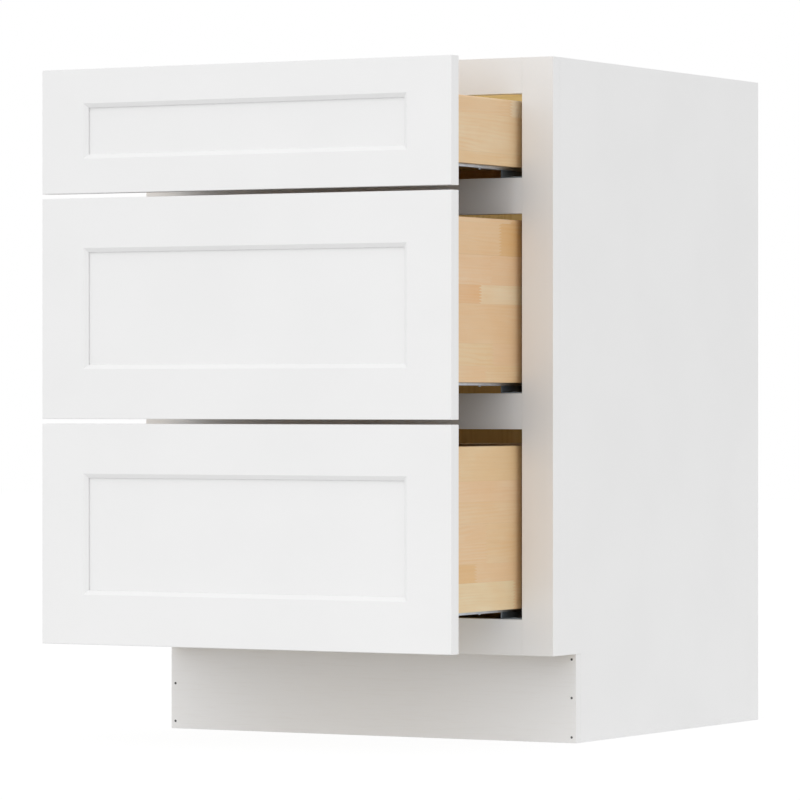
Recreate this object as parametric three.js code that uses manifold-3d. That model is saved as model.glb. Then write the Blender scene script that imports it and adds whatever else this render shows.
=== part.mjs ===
// Base cabinet with three drawers: face-frame carcass, dovetailed drawer boxes, undermount slides.
// Millimetres. X runs to the cabinet's right as seen from the front, Y runs back, Z runs up.
// Inside this file Y = 0 is the front of the face frame and Z = 0 is the floor.
import * as THREE from "three";
import { mergeVertices } from "three/addons/utils/BufferGeometryUtils.js";
import Module from "manifold-3d";

// ---------------------------------------------------------------- driving dimensions: carcass
const CABINET_WIDTH = 609.6;
const CABINET_DEPTH = 609.6; // face-frame front to the back of the side panels
const CABINET_HEIGHT = 876.3;
const SIDE_THICKNESS = 12.7;
const DECK_THICKNESS = 12.7;
const BACK_THICKNESS = 12.7;
const HOUSING_DEPTH = 6.35; // dadoes and rabbets in the side panels
const TOE_SPACE_HEIGHT = 114.3;
const TOE_SPACE_DEPTH = 63.5; // face-frame front to toe-board front
const TOE_BOARD_THICKNESS = 12.7;
const NAILER_HEIGHT = 76.2;
const NAILER_THICKNESS = 19.05;
const BRACE_LEG = 76.2;
const BRACE_TIP = 12.7; // blunt end of each leg
const BRACE_THICKNESS = 12.7;
const BRACE_DROP = 3.2; // brace top below the cabinet top
const BRACE_HOLE_INSET = 25; // worktop screw hole in from the face frame and from the side
const SCREW_HOLE_RADIUS = 2.5;
const GLUE_LINE = 0.1; // gap between glued or screwed wooden pieces

// ---------------------------------------------------------------- driving dimensions: face frame
const FRAME_THICKNESS = 19.05;
const STILE_WIDTH = 44.45;
const RAIL_WIDTH = 45.7;
const TOP_OPENING = 107.4; // opening heights; the bottom opening takes what is left
const MIDDLE_OPENING = 229.2;
const DECK_DROP = 6.35; // deck top below the bottom rail's top

// ---------------------------------------------------------------- driving dimensions: drawer fronts
const FRONT_THICKNESS = 19.05;
const FRONT_EASE = 1; // rounding of the outer arrises
const FRONT_SIDE_REVEAL = 5.2;
const FRONT_TOP_REVEAL = 13.3;
const FRONT_BOTTOM_REVEAL = 13.1;
const FRONT_GAP = 6;
const TOP_FRONT_HEIGHT = 159.3; // the two lower fronts share what is left equally
const FRONT_STILE_WIDTH = 62.9;
const FRONT_RAIL_WIDTH = 63.8;
const TOP_FRONT_RAIL_WIDTH = 44.45;
const BEVEL_RUN = 5.4; // sticking bevel round the centre panel
const BEVEL_DEPTH = 4; // a square quirk goes on from its foot down to the panel
const RECESS_DEPTH = 6.6; // front face to the centre panel
const CENTRE_PANEL_THICKNESS = 6.35;
const PANEL_GROOVE_DEPTH = 9.5;
const PANEL_PLAY = 0.4; // centre panel to its groove, all round

// ---------------------------------------------------------------- driving dimensions: drawer boxes
const BOX_SIDE_CLEARANCE = 8.3; // box side to the edge of its opening
const BOX_BOTTOM_CLEARANCE = 13.6; // opening's lower edge to the box side's lower edge
const BOX_TOP_CLEARANCES = [9.1, 8.2, 21]; // top, middle and bottom drawer
const BOX_BOARD_THICKNESS = 12.7;
const BOX_EDGE_RADIUS = 2.4; // rounding of the boards' top edges
const BOX_REAR_CLEARANCE = 65.1; // back panel to a closed box
const BOTTOM_PANEL_THICKNESS = 6.35;
const BOTTOM_PANEL_RAISE = 12.7; // box side's lower edge to the bottom panel
const BOTTOM_GROOVE_DEPTH = 6.35;
const BOTTOM_PLAY = 0.15; // bottom panel to its groove
const DOVETAIL_PITCH = 26; // nearest whole number of tails is taken
const DOVETAIL_ROOT_SHARE = 0.42; // width of a tail's root as a share of the pitch
const DOVETAIL_FLARE = 0.16; // sideways run of a tail's flank for each unit of its length
const DOVETAIL_LAP = 4; // wood left in front of a tail
const DOVETAIL_FIT = 0.15;
const DRAWER_PULL = 238; // how far each drawer is pulled out from closed
const BUMPER_GAP = 1.6; // face frame to a closed drawer front

// ---------------------------------------------------------------- driving dimensions: slides
const STEEL = 1.2; // sheet thickness of every slide member
const RUNNING_GAP = 0.7; // between nested members
const SEAT_GAP = 0.3; // member to the wood that it carries or rests on
const RIB_DEPTH = 3.8; // drawer member's rolled rib below the box side
const RIB_WIDTH = 4;
const SLIDE_WIDTH = 24.4; // drawer member's channel, over its legs
const MID_LIP = 0.3; // intermediate member's outer leg below the rib
const MID_INNER_DROP = 1; // its inner leg below the box side
const MID_STOP_LENGTH = 4; // stop at the front end of its outer leg
const MID_STOP_DROP = 1.2;
const OUTER_TRACK = 5.7; // between the intermediate and cabinet members' outer legs
const INNER_TRACK = 2.4; // and between their inner legs
const FIXED_SETBACK = 2; // face-frame front to the cabinet member's nose
const NOSE_LENGTH = 30; // front part of the cabinet member, where only its outer leg runs on
const NOSE_LOW_LENGTH = 18; // part of the nose that passes below the closed box's front
const NOSE_DROP = 1.5; // top of the nose below the box
const FRONT_FOOT_LENGTH = 38; // flange on the rail, from the outer leg out to the stile
const FRONT_FOOT_GAP = 0.8; // that flange to the stile
const MID_SETBACK = 48; // intermediate member's front behind the face frame, drawer closed
const MID_LENGTH = 440;
const REAR_TAIL = 12; // cabinet member's track past the closed box
const BRACKET_FOOT_WIDTH = 26;
const BRACKET_PLATE_WIDTH = 34;
const BRACKET_PLATE_HEIGHT = 36;
const BRACKET_HOLE_SPREAD = 10; // screw holes either side of the plate's middle
const BRACKET_HOLE_DROP = 7; // screw holes below the plate's top
const HOOK_HEIGHT = 15; // drawer member's rear hook above the bottom panel's underside
const HOOK_WIDTH = 10;
const HOOK_PIN_RADIUS = 2.8;
const HOOK_PIN_LENGTH = 10;
const HOOK_PIN_RISE = 10.6; // pin's axis above the bottom panel's underside
const HOOK_PIN_PLAY = 0.4;
const RUNNER_NOTCH_PLAY = 2; // box back's notch round the drawer member
const CLIP_LENGTH = 44;
const CLIP_WIDTH = 22;
const CLIP_HEIGHT = 10;
const CLIP_LEVER_WIDTH = 9;
const CLIP_CORNER = 2.5;
const CLIP_SLIT_WIDTH = 1.2; // frees the lever from the body
const CLIP_SLIT_LENGTH = 13;
const CLIP_WHEEL_RADIUS = 6;
const CLIP_WHEEL_DEPTH = 1.8; // height adjuster's wheel below the body
const ARC_STEPS = 5; // facets to a rounded corner
const EASE_STEPS = 3; // facets to an eased arris
const BAR_SIDES = 20; // facets round a pin or a hole
const WELD_REACH = 1e-4; // corners nearer than this are one corner

// ---------------------------------------------------------------- derived places
const halfWidth = CABINET_WIDTH / 2;
const insideX = halfWidth - SIDE_THICKNESS;
const frameBackY = FRAME_THICKNESS + GLUE_LINE;
const backFrontY = CABINET_DEPTH - BACK_THICKNESS;
const toeBackY = TOE_SPACE_DEPTH + TOE_BOARD_THICKNESS;
const openingX = halfWidth - STILE_WIDTH;
const frameBottomZ = TOE_SPACE_HEIGHT;
const bottomOpening =
  CABINET_HEIGHT - TOE_SPACE_HEIGHT - 4 * RAIL_WIDTH - TOP_OPENING - MIDDLE_OPENING;
const deckTopZ = frameBottomZ + RAIL_WIDTH - DECK_DROP;
const deckBottomZ = deckTopZ - DECK_THICKNESS;

const boxX = openingX - BOX_SIDE_CLEARANCE; // outer face of a drawer box's side
const closedBoxBackY = backFrontY - BOX_REAR_CLEARANCE;
const boxFrontY = -BUMPER_GAP + GLUE_LINE; // box's front face with the drawer closed
const boxLength = closedBoxBackY - boxFrontY;
const frontPlaneY = -BUMPER_GAP - FRONT_THICKNESS - DRAWER_PULL;
const originY = (CABINET_DEPTH + frontPlaneY) / 2;

// ---------------------------------------------------------------- finishes
const finish = (color, roughness, metalness) =>
  new THREE.MeshStandardMaterial({ color, roughness, metalness });
const whitePaint = () => finish(0xeeeeec, 0.42, 0);
const toeBoardPaint = () => finish(0xe6e3df, 0.5, 0);
const mapleVeneer = () => finish(0xd2ab72, 0.55, 0);
const mapleStrip = () => finish(0xdfc193, 0.48, 0);
const birchPly = () => finish(0xdcc59d, 0.6, 0);
const zincSteel = () => finish(0xb4b8bb, 0.35, 0.9);
const darkSteel = () => finish(0x3a3d3f, 0.4, 0.8);
const greyPlastic = () => finish(0x6b6e70, 0.55, 0);

// ---------------------------------------------------------------- solid helpers
const wasm = await Module();
wasm.setup();

/** A closed geometry as a solid, ready to be joined or cut. */
function solidOf(geometry) {
  const bare = geometry.clone();
  bare.deleteAttribute("normal");
  bare.deleteAttribute("uv");
  const merged = mergeVertices(bare, WELD_REACH);
  return new wasm.Manifold(
    new wasm.Mesh({
      numProp: 3,
      vertProperties: new Float32Array(merged.attributes.position.array),
      triVerts: new Uint32Array(merged.index.array),
    }),
  );
}

/** A solid back as a geometry. */
function geometryOf(solid) {
  const mesh = solid.getMesh();
  const geometry = new THREE.BufferGeometry();
  geometry.setAttribute("position", new THREE.BufferAttribute(new Float32Array(mesh.vertProperties), 3));
  geometry.setIndex(new THREE.BufferAttribute(new Uint32Array(mesh.triVerts), 1));
  geometry.computeVertexNormals();
  return geometry;
}

/** The blank with every cutter taken away. */
const cut = (blank, cutters) =>
  geometryOf(cutters.reduce((solid, cutter) => solid.subtract(solidOf(cutter)), solidOf(blank)));

/** Several geometries as one piece. */
const join = (pieces) =>
  geometryOf(pieces.map(solidOf).reduce((whole, piece) => whole.add(piece)));

/** The part of the blank that lies inside the envelope. */
const trim = (blank, envelope) => geometryOf(solidOf(blank).intersect(solidOf(envelope)));

/** A rectangular block between two corners. */
function block([x0, x1], [y0, y1], [z0, z1]) {
  const geometry = new THREE.BoxGeometry(Math.abs(x1 - x0), Math.abs(y1 - y0), Math.abs(z1 - z0));
  return geometry.translate((x0 + x1) / 2, (y0 + y1) / 2, (z0 + z1) / 2);
}

/** A block whose front (low Y) face is wider and taller than its back face by `spread` all round. */
function flaredBlock([x0, x1], [y0, y1], [z0, z1], spread) {
  const geometry = block([x0, x1], [y0, y1], [z0, z1]);
  const place = geometry.attributes.position;
  const middleX = (x0 + x1) / 2;
  const middleY = (y0 + y1) / 2;
  const middleZ = (z0 + z1) / 2;
  for (let i = 0; i < place.count; i++) {
    if (place.getY(i) > middleY) continue;
    place.setX(i, place.getX(i) + spread * Math.sign(place.getX(i) - middleX));
    place.setZ(i, place.getZ(i) + spread * Math.sign(place.getZ(i) - middleZ));
  }
  return geometry;
}

/** A round bar about a point, with its axis along x, y or z. */
function bar(axis, [x, y, z], radius, length) {
  const geometry = new THREE.CylinderGeometry(radius, radius, length, BAR_SIDES);
  if (axis === "x") geometry.rotateZ(Math.PI / 2);
  if (axis === "z") geometry.rotateX(Math.PI / 2);
  return geometry.translate(x, y, z);
}

/** A shape from a list of points, or the shape itself. */
const shapeOf = (outline) =>
  outline instanceof THREE.Shape
    ? outline
    : new THREE.Shape(outline.map(([a, b]) => new THREE.Vector2(a, b)));

/** An upright rectangle from a0 to a1 with both upper corners rounded. */
function roundedTop([a0, a1], [lowZ, highZ], radius) {
  const shape = new THREE.Shape();
  shape.moveTo(a0, lowZ);
  shape.lineTo(a1, lowZ);
  shape.absarc(a1 - radius, highZ - radius, radius, 0, Math.PI / 2, false);
  shape.absarc(a0 + radius, highZ - radius, radius, Math.PI / 2, Math.PI, false);
  shape.closePath();
  return shape;
}

/** A (y, z) outline, extruded along X from x0 to x1. */
function extrudeAlongX(outline, [x0, x1]) {
  const geometry = new THREE.ExtrudeGeometry(shapeOf(outline), {
    depth: x1 - x0,
    bevelEnabled: false,
    curveSegments: ARC_STEPS,
  });
  const turn = new THREE.Matrix4().set(0, 0, 1, x0, 1, 0, 0, 0, 0, 1, 0, 0, 0, 0, 0, 1);
  return geometry.applyMatrix4(turn);
}

/** An (x, z) outline, extruded along Y from y0 to y1. */
function extrudeAlongY(outline, [y0, y1], options = {}) {
  const inset = options.bevelThickness ?? 0;
  const geometry = new THREE.ExtrudeGeometry(shapeOf(outline), {
    depth: y1 - y0 - 2 * inset,
    bevelEnabled: false,
    curveSegments: ARC_STEPS,
    ...options,
  });
  const turn = new THREE.Matrix4().set(1, 0, 0, 0, 0, 0, -1, y1 - inset, 0, 1, 0, 0, 0, 0, 0, 1);
  return geometry.applyMatrix4(turn);
}

/** An (x, y) outline, extruded up Z from z0 to z1. */
function extrudeUpZ(outline, [z0, z1]) {
  const geometry = new THREE.ExtrudeGeometry(shapeOf(outline), {
    depth: z1 - z0,
    bevelEnabled: false,
    curveSegments: ARC_STEPS,
  });
  return geometry.translate(0, 0, z0);
}

/** A geometry mirrored to the cabinet's left, with its faces still pointing out. */
function mirrored(geometry) {
  const copy = geometry.clone().applyMatrix4(new THREE.Matrix4().makeScale(-1, 1, 1));
  const solidIndex = copy.index ?? copy.setIndex([...Array(copy.attributes.position.count).keys()]).index;
  for (let i = 0; i < solidIndex.count; i += 3) {
    const first = solidIndex.getX(i);
    solidIndex.setX(i, solidIndex.getX(i + 1));
    solidIndex.setX(i + 1, first);
  }
  copy.computeVertexNormals();
  return copy;
}

const SIDES = [
  ["left", mirrored],
  ["right", (geometry) => geometry],
];

/** The outline of sheet steel folded along a path of (u, w) points, with mitred folds. */
function foldedSheet(path, thickness) {
  const half = thickness / 2;
  const along = (a, b) => new THREE.Vector2(b[0] - a[0], b[1] - a[1]).normalize();
  const offset = (side) =>
    path.map((point, i) => {
      const before = along(path[Math.max(i - 1, 0)], path[Math.max(i, 1)]);
      const last = path.length - 1;
      const after = along(path[Math.min(i, last - 1)], path[Math.min(i + 1, last)]);
      const normal = new THREE.Vector2(-before.y - after.y, before.x + after.x).normalize();
      const reach = (side * half) / normal.dot(new THREE.Vector2(-before.y, before.x));
      return [point[0] + normal.x * reach, point[1] + normal.y * reach];
    });
  return [...offset(1), ...offset(-1).reverse()];
}

const cabinet = new THREE.Group();

/** Adds one named piece to a group. */
function addPiece(group, name, geometry, material) {
  const mesh = new THREE.Mesh(geometry, material);
  mesh.name = name;
  group.add(mesh);
}

// ---------------------------------------------------------------- carcass
function sidePanel() {
  const notchY = toeBackY + GLUE_LINE;
  const outline = [
    [notchY, 0],
    [CABINET_DEPTH, 0],
    [CABINET_DEPTH, CABINET_HEIGHT],
    [frameBackY, CABINET_HEIGHT],
    [frameBackY, TOE_SPACE_HEIGHT],
    [notchY, TOE_SPACE_HEIGHT],
  ];
  const housing = [insideX - HOUSING_DEPTH, insideX + HOUSING_DEPTH];
  const deckDado = block(
    housing,
    [0, CABINET_DEPTH + HOUSING_DEPTH],
    [deckBottomZ - GLUE_LINE, deckTopZ + GLUE_LINE],
  );
  const backRabbet = block(
    housing,
    [backFrontY - GLUE_LINE, CABINET_DEPTH + HOUSING_DEPTH],
    [deckBottomZ - GLUE_LINE, CABINET_HEIGHT + HOUSING_DEPTH],
  );
  return cut(extrudeAlongX(outline, [insideX, halfWidth]), [deckDado, backRabbet]);
}

function cornerBrace() {
  const cornerX = insideX - GLUE_LINE;
  const cornerY = frameBackY;
  const outline = [
    [cornerX, cornerY],
    [cornerX, cornerY + BRACE_LEG],
    [cornerX - BRACE_TIP, cornerY + BRACE_LEG],
    [cornerX - BRACE_LEG, cornerY + BRACE_TIP],
    [cornerX - BRACE_LEG, cornerY],
  ];
  const topZ = CABINET_HEIGHT - BRACE_DROP;
  const hole = bar(
    "z",
    [cornerX - BRACE_HOLE_INSET, cornerY + BRACE_HOLE_INSET, topZ - BRACE_THICKNESS / 2],
    SCREW_HOLE_RADIUS,
    2 * BRACE_THICKNESS,
  );
  return cut(extrudeUpZ(outline, [topZ - BRACE_THICKNESS, topZ]), [hole]);
}

function buildCarcass(group) {
  const housedX = insideX + HOUSING_DEPTH - GLUE_LINE;
  for (const [hand, turned] of SIDES) {
    addPiece(group, `side_panel_${hand}`, turned(sidePanel()), whitePaint());
    addPiece(group, `corner_brace_${hand}`, turned(cornerBrace()), birchPly());
  }
  const deck = block(
    [-housedX, housedX],
    [frameBackY, backFrontY - GLUE_LINE],
    [deckBottomZ, deckTopZ],
  );
  addPiece(group, "deck_panel", deck, mapleVeneer());
  const back = block([-housedX, housedX], [backFrontY, CABINET_DEPTH], [deckBottomZ, CABINET_HEIGHT]);
  addPiece(group, "back_panel", back, mapleVeneer());
  const nailerX = insideX - GLUE_LINE;
  const nailerBackY = backFrontY - GLUE_LINE;
  const nailer = block(
    [-nailerX, nailerX],
    [nailerBackY - NAILER_THICKNESS, nailerBackY],
    [CABINET_HEIGHT - NAILER_HEIGHT, CABINET_HEIGHT],
  );
  addPiece(group, "back_nailer", nailer, mapleVeneer());
  const toeBoard = block(
    [-halfWidth, halfWidth],
    [TOE_SPACE_DEPTH, toeBackY],
    [0, TOE_SPACE_HEIGHT - GLUE_LINE],
  );
  addPiece(group, "toe_kick_board", toeBoard, toeBoardPaint());
}

// ---------------------------------------------------------------- face frame
/** The three openings, top first, each as its lower and upper edge. */
function openingSpans() {
  const spans = [];
  let topZ = CABINET_HEIGHT - RAIL_WIDTH;
  for (const height of [TOP_OPENING, MIDDLE_OPENING, bottomOpening]) {
    spans.push([topZ - height, topZ]);
    topZ -= height + RAIL_WIDTH;
  }
  return spans;
}

function buildFaceFrame(group) {
  for (const [hand, turned] of SIDES) {
    const stile = block([openingX, halfWidth], [0, FRAME_THICKNESS], [frameBottomZ, CABINET_HEIGHT]);
    addPiece(group, `stile_${hand}`, turned(stile), whitePaint());
  }
  const railX = openingX - GLUE_LINE;
  const spans = openingSpans();
  const railTops = [CABINET_HEIGHT, ...spans.map(([lowerZ]) => lowerZ)];
  ["rail_top", "rail_upper", "rail_lower", "rail_bottom"].forEach((name, i) => {
    const rail = block([-railX, railX], [0, FRAME_THICKNESS], [railTops[i] - RAIL_WIDTH, railTops[i]]);
    addPiece(group, name, rail, whitePaint());
  });
}

// ---------------------------------------------------------------- drawer fronts
/** The three drawer fronts, top first, each as its lower and upper edge. */
function frontSpans() {
  const topZ = CABINET_HEIGHT - FRONT_TOP_REVEAL;
  const bottomZ = frameBottomZ + FRONT_BOTTOM_REVEAL;
  const lowerHeight = (topZ - bottomZ - TOP_FRONT_HEIGHT - 2 * FRONT_GAP) / 2;
  const middleTopZ = topZ - TOP_FRONT_HEIGHT - FRONT_GAP;
  return [
    [topZ - TOP_FRONT_HEIGHT, topZ],
    [middleTopZ - lowerHeight, middleTopZ],
    [bottomZ, bottomZ + lowerHeight],
  ];
}

/** Frame of one drawer front: stiles and rails with a mitred bevel, a quirk and a panel groove. */
function frontFrame([lowZ, highZ], railWidth) {
  const frontX = halfWidth - FRONT_SIDE_REVEAL;
  const backY = -BUMPER_GAP;
  const faceY = backY - FRONT_THICKNESS;
  const blank = extrudeAlongY(
    [
      [-frontX, lowZ],
      [frontX, lowZ],
      [frontX, highZ],
      [-frontX, highZ],
    ],
    [faceY, backY],
    {
      bevelEnabled: true,
      bevelThickness: FRONT_EASE,
      bevelSize: FRONT_EASE,
      bevelOffset: -FRONT_EASE,
      bevelSegments: EASE_STEPS,
    },
  );
  const innerX = frontX - FRONT_STILE_WIDTH - BEVEL_RUN;
  const innerZ = [lowZ + railWidth + BEVEL_RUN, highZ - railWidth - BEVEL_RUN];
  const grooveX = innerX + PANEL_GROOVE_DEPTH;
  const grooveY = faceY + RECESS_DEPTH - PANEL_PLAY / 2;
  return cut(blank, [
    flaredBlock([-innerX, innerX], [faceY, faceY + BEVEL_DEPTH], innerZ, BEVEL_RUN),
    block([-innerX, innerX], [faceY, backY + FRONT_THICKNESS], innerZ),
    block(
      [-grooveX, grooveX],
      [grooveY, grooveY + CENTRE_PANEL_THICKNESS + PANEL_PLAY],
      [innerZ[0] - PANEL_GROOVE_DEPTH, innerZ[1] + PANEL_GROOVE_DEPTH],
    ),
  ]);
}

function frontPanel([lowZ, highZ], railWidth) {
  const edge = BEVEL_RUN - PANEL_GROOVE_DEPTH + PANEL_PLAY;
  const panelX = halfWidth - FRONT_SIDE_REVEAL - FRONT_STILE_WIDTH - edge;
  const faceY = -BUMPER_GAP - FRONT_THICKNESS + RECESS_DEPTH;
  return block(
    [-panelX, panelX],
    [faceY, faceY + CENTRE_PANEL_THICKNESS],
    [lowZ + railWidth + edge, highZ - railWidth - edge],
  );
}

// ---------------------------------------------------------------- drawer boxes
/** Half widths and heights of the dovetails along a corner of a box that is `height` tall. */
function dovetails(lowZ, height) {
  const count = Math.max(2, Math.round(height / DOVETAIL_PITCH));
  const pitch = height / count;
  return Array.from({ length: count }, (_, i) => ({
    centreZ: lowZ + (i + 0.5) * pitch,
    rootHalf: (pitch * DOVETAIL_ROOT_SHARE) / 2,
  }));
}

/** One tail's outline from its root to its end; `spread` widens it into its socket. */
function tailOutline({ centreZ, rootHalf }, rootY, endY, spread = 0) {
  const flare = DOVETAIL_FLARE * Math.abs(endY - rootY);
  const root = rootHalf + spread;
  return [
    [rootY, centreZ - root],
    [endY, centreZ - root - flare],
    [endY, centreZ + root + flare],
    [rootY, centreZ + root],
  ];
}

/** Sizes and places that the pieces of one drawer box share, with the drawer closed. */
function boxLayout(opening, topClearance) {
  const lowZ = opening[0] + BOX_BOTTOM_CLEARANCE;
  const highZ = opening[1] - topClearance;
  return {
    lowZ,
    highZ,
    tails: dovetails(lowZ, highZ - lowZ),
    frontY: boxFrontY,
    frontInsideY: boxFrontY + BOX_BOARD_THICKNESS,
    backInsideY: closedBoxBackY - BOX_BOARD_THICKNESS,
    backY: closedBoxBackY,
    insideX: boxX - BOX_BOARD_THICKNESS,
    panelZ: lowZ + BOTTOM_PANEL_RAISE,
  };
}

/** The groove that holds the bottom panel, run round the inside of the box. */
function bottomGroove(box) {
  const grooveX = box.insideX + BOTTOM_GROOVE_DEPTH;
  return block(
    [-grooveX, grooveX],
    [box.frontInsideY - BOTTOM_GROOVE_DEPTH, box.backInsideY + BOTTOM_GROOVE_DEPTH],
    [box.panelZ - BOTTOM_PLAY, box.panelZ + BOTTOM_PANEL_THICKNESS + BOTTOM_PLAY],
  );
}

function boxSide(box) {
  const rootFrontY = box.frontInsideY + DOVETAIL_FIT;
  const rootBackY = box.backInsideY - DOVETAIL_FIT;
  const frontTails = box.tails.flatMap((tail) => tailOutline(tail, rootFrontY, box.frontY + DOVETAIL_LAP));
  const backTails = box.tails.flatMap((tail) => tailOutline(tail, rootBackY, box.backY - DOVETAIL_LAP));
  const outline = [
    [rootFrontY, box.lowZ],
    ...frontTails,
    [rootFrontY, box.highZ],
    [rootBackY, box.highZ],
    ...backTails.reverse(),
    [rootBackY, box.lowZ],
  ];
  const board = extrudeAlongX(outline.reverse(), [box.insideX, boxX]);
  const section = roundedTop([box.insideX, boxX], [box.lowZ, box.highZ], BOX_EDGE_RADIUS);
  const rounded = trim(board, extrudeAlongY(section, [box.frontY, box.backY]));
  return cut(rounded, [bottomGroove(box)]);
}

/** Sockets for the tails of one box corner, cut from the right end of a cross board. */
function tailSockets(box, insideY, lapY) {
  const outwards = Math.sign(lapY - insideY);
  const mouthY = insideY - outwards * DOVETAIL_FIT;
  const endY = lapY + outwards * DOVETAIL_FIT;
  return box.tails.map((tail) => {
    const socket = tailOutline(tail, mouthY, endY, DOVETAIL_FIT);
    const ordered = outwards > 0 ? socket : socket.reverse();
    return extrudeAlongX(ordered, [box.insideX - DOVETAIL_FIT, boxX + DOVETAIL_FIT]);
  });
}

const bothHands = (cutters) => [...cutters, ...cutters.map(mirrored)];

/** A board across the box, from y0 to y1, before its joints are cut. */
function crossBoard(box, span) {
  return extrudeAlongX(roundedTop(span, [box.lowZ, box.highZ], BOX_EDGE_RADIUS), [-boxX, boxX]);
}

function boxFront(box) {
  const board = crossBoard(box, [box.frontY, box.frontInsideY]);
  const sockets = bothHands(tailSockets(box, box.frontInsideY, box.frontY + DOVETAIL_LAP));
  return cut(board, [...sockets, bottomGroove(box)]);
}

/** Where the slide's members lie across the box: distances in from the box side's outer face. */
const slideU = {
  ribOuter: BOX_BOARD_THICKNESS + RUNNING_GAP + STEEL - RIB_WIDTH,
  drawerOuter: BOX_BOARD_THICKNESS + RUNNING_GAP,
  drawerInner: BOX_BOARD_THICKNESS + RUNNING_GAP + SLIDE_WIDTH,
  midOuter: BOX_BOARD_THICKNESS + 2 * RUNNING_GAP + STEEL,
  midInner: BOX_BOARD_THICKNESS + SLIDE_WIDTH - STEEL,
};

const drawerMemberX = boxX - (slideU.drawerOuter + slideU.drawerInner) / 2;

function boxBack(box) {
  const board = crossBoard(box, [box.backInsideY, box.backY]);
  const sockets = bothHands(tailSockets(box, box.backInsideY, box.backY - DOVETAIL_LAP));
  const notch = block(
    [boxX - slideU.drawerInner - RUNNER_NOTCH_PLAY, box.insideX],
    [box.backInsideY - BOX_BOARD_THICKNESS, box.backY + BOX_BOARD_THICKNESS],
    [box.lowZ - BOTTOM_PANEL_RAISE, box.panelZ],
  );
  const hookHole = bar(
    "y",
    [drawerMemberX, box.backY, box.panelZ + HOOK_PIN_RISE],
    HOOK_PIN_RADIUS + HOOK_PIN_PLAY,
    4 * BOX_BOARD_THICKNESS,
  );
  return cut(board, [...sockets, ...bothHands([notch, hookHole]), bottomGroove(box)]);
}

function boxBottom(box) {
  const edge = BOTTOM_GROOVE_DEPTH - BOTTOM_PLAY;
  return block(
    [-box.insideX - edge, box.insideX + edge],
    [box.frontInsideY - edge, box.backInsideY + edge],
    [box.panelZ, box.panelZ + BOTTOM_PANEL_THICKNESS],
  );
}

// ---------------------------------------------------------------- slides
/** A slide member: sheet steel folded along (u, w), run from y0 to y1 on the right-hand side. */
function slideMember(path, lowZ, span) {
  const outline = foldedSheet(path, STEEL).map(([u, w]) => [boxX - u, lowZ + w]);
  return extrudeAlongY(outline, span);
}

const half = STEEL / 2;
const plateW = BOTTOM_PANEL_RAISE - SEAT_GAP - half; // drawer member's top plate, mid-thickness
const midPlateW = plateW - STEEL - RUNNING_GAP;
const fixedTopW = midPlateW - half - RUNNING_GAP;
const fixedBaseW = -BOX_BOTTOM_CLEARANCE + SEAT_GAP + half;
const midLowW = -RIB_DEPTH - MID_LIP;
const fixedOuterU = slideU.midOuter + STEEL + OUTER_TRACK + half;
const fixedInnerU = slideU.midInner - STEEL - INNER_TRACK - half;

/** Drawer member: rolled rib under the box side, channel under the bottom panel, rear hook and pin. */
function drawerMember(box) {
  const y0 = box.frontInsideY + SEAT_GAP;
  const y1 = box.backY + SEAT_GAP + STEEL;
  const ribW = -RIB_DEPTH + half;
  const path = [
    [slideU.ribOuter + half, -SEAT_GAP],
    [slideU.ribOuter + half, ribW],
    [slideU.drawerOuter + half, ribW],
    [slideU.drawerOuter + half, plateW],
    [slideU.drawerInner - half, plateW],
    [slideU.drawerInner - half, 0],
  ];
  const track = slideMember(path, box.lowZ, [y0, y1]);
  const hook = block(
    [drawerMemberX - HOOK_WIDTH / 2, drawerMemberX + HOOK_WIDTH / 2],
    [y1 - STEEL, y1],
    [box.lowZ + plateW, box.panelZ + HOOK_HEIGHT],
  );
  const pin = bar(
    "y",
    [drawerMemberX, y1 - half - HOOK_PIN_LENGTH / 2, box.panelZ + HOOK_PIN_RISE],
    HOOK_PIN_RADIUS,
    HOOK_PIN_LENGTH,
  );
  return join([track, hook, pin]);
}

/** Intermediate member: a channel nested in the drawer member, with a stop at its front end. */
function midMember(box) {
  const path = [
    [slideU.midOuter + half, midLowW],
    [slideU.midOuter + half, midPlateW],
    [slideU.midInner - half, midPlateW],
    [slideU.midInner - half, -MID_INNER_DROP],
  ];
  const channel = slideMember(path, box.lowZ, [MID_SETBACK, MID_SETBACK + MID_LENGTH]);
  const stop = block(
    [boxX - slideU.midOuter - STEEL, boxX - slideU.midOuter],
    [MID_SETBACK, MID_SETBACK + MID_STOP_LENGTH],
    [box.lowZ + midLowW - MID_STOP_DROP, box.lowZ + midLowW + STEEL],
  );
  return join([channel, stop]);
}

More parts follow.
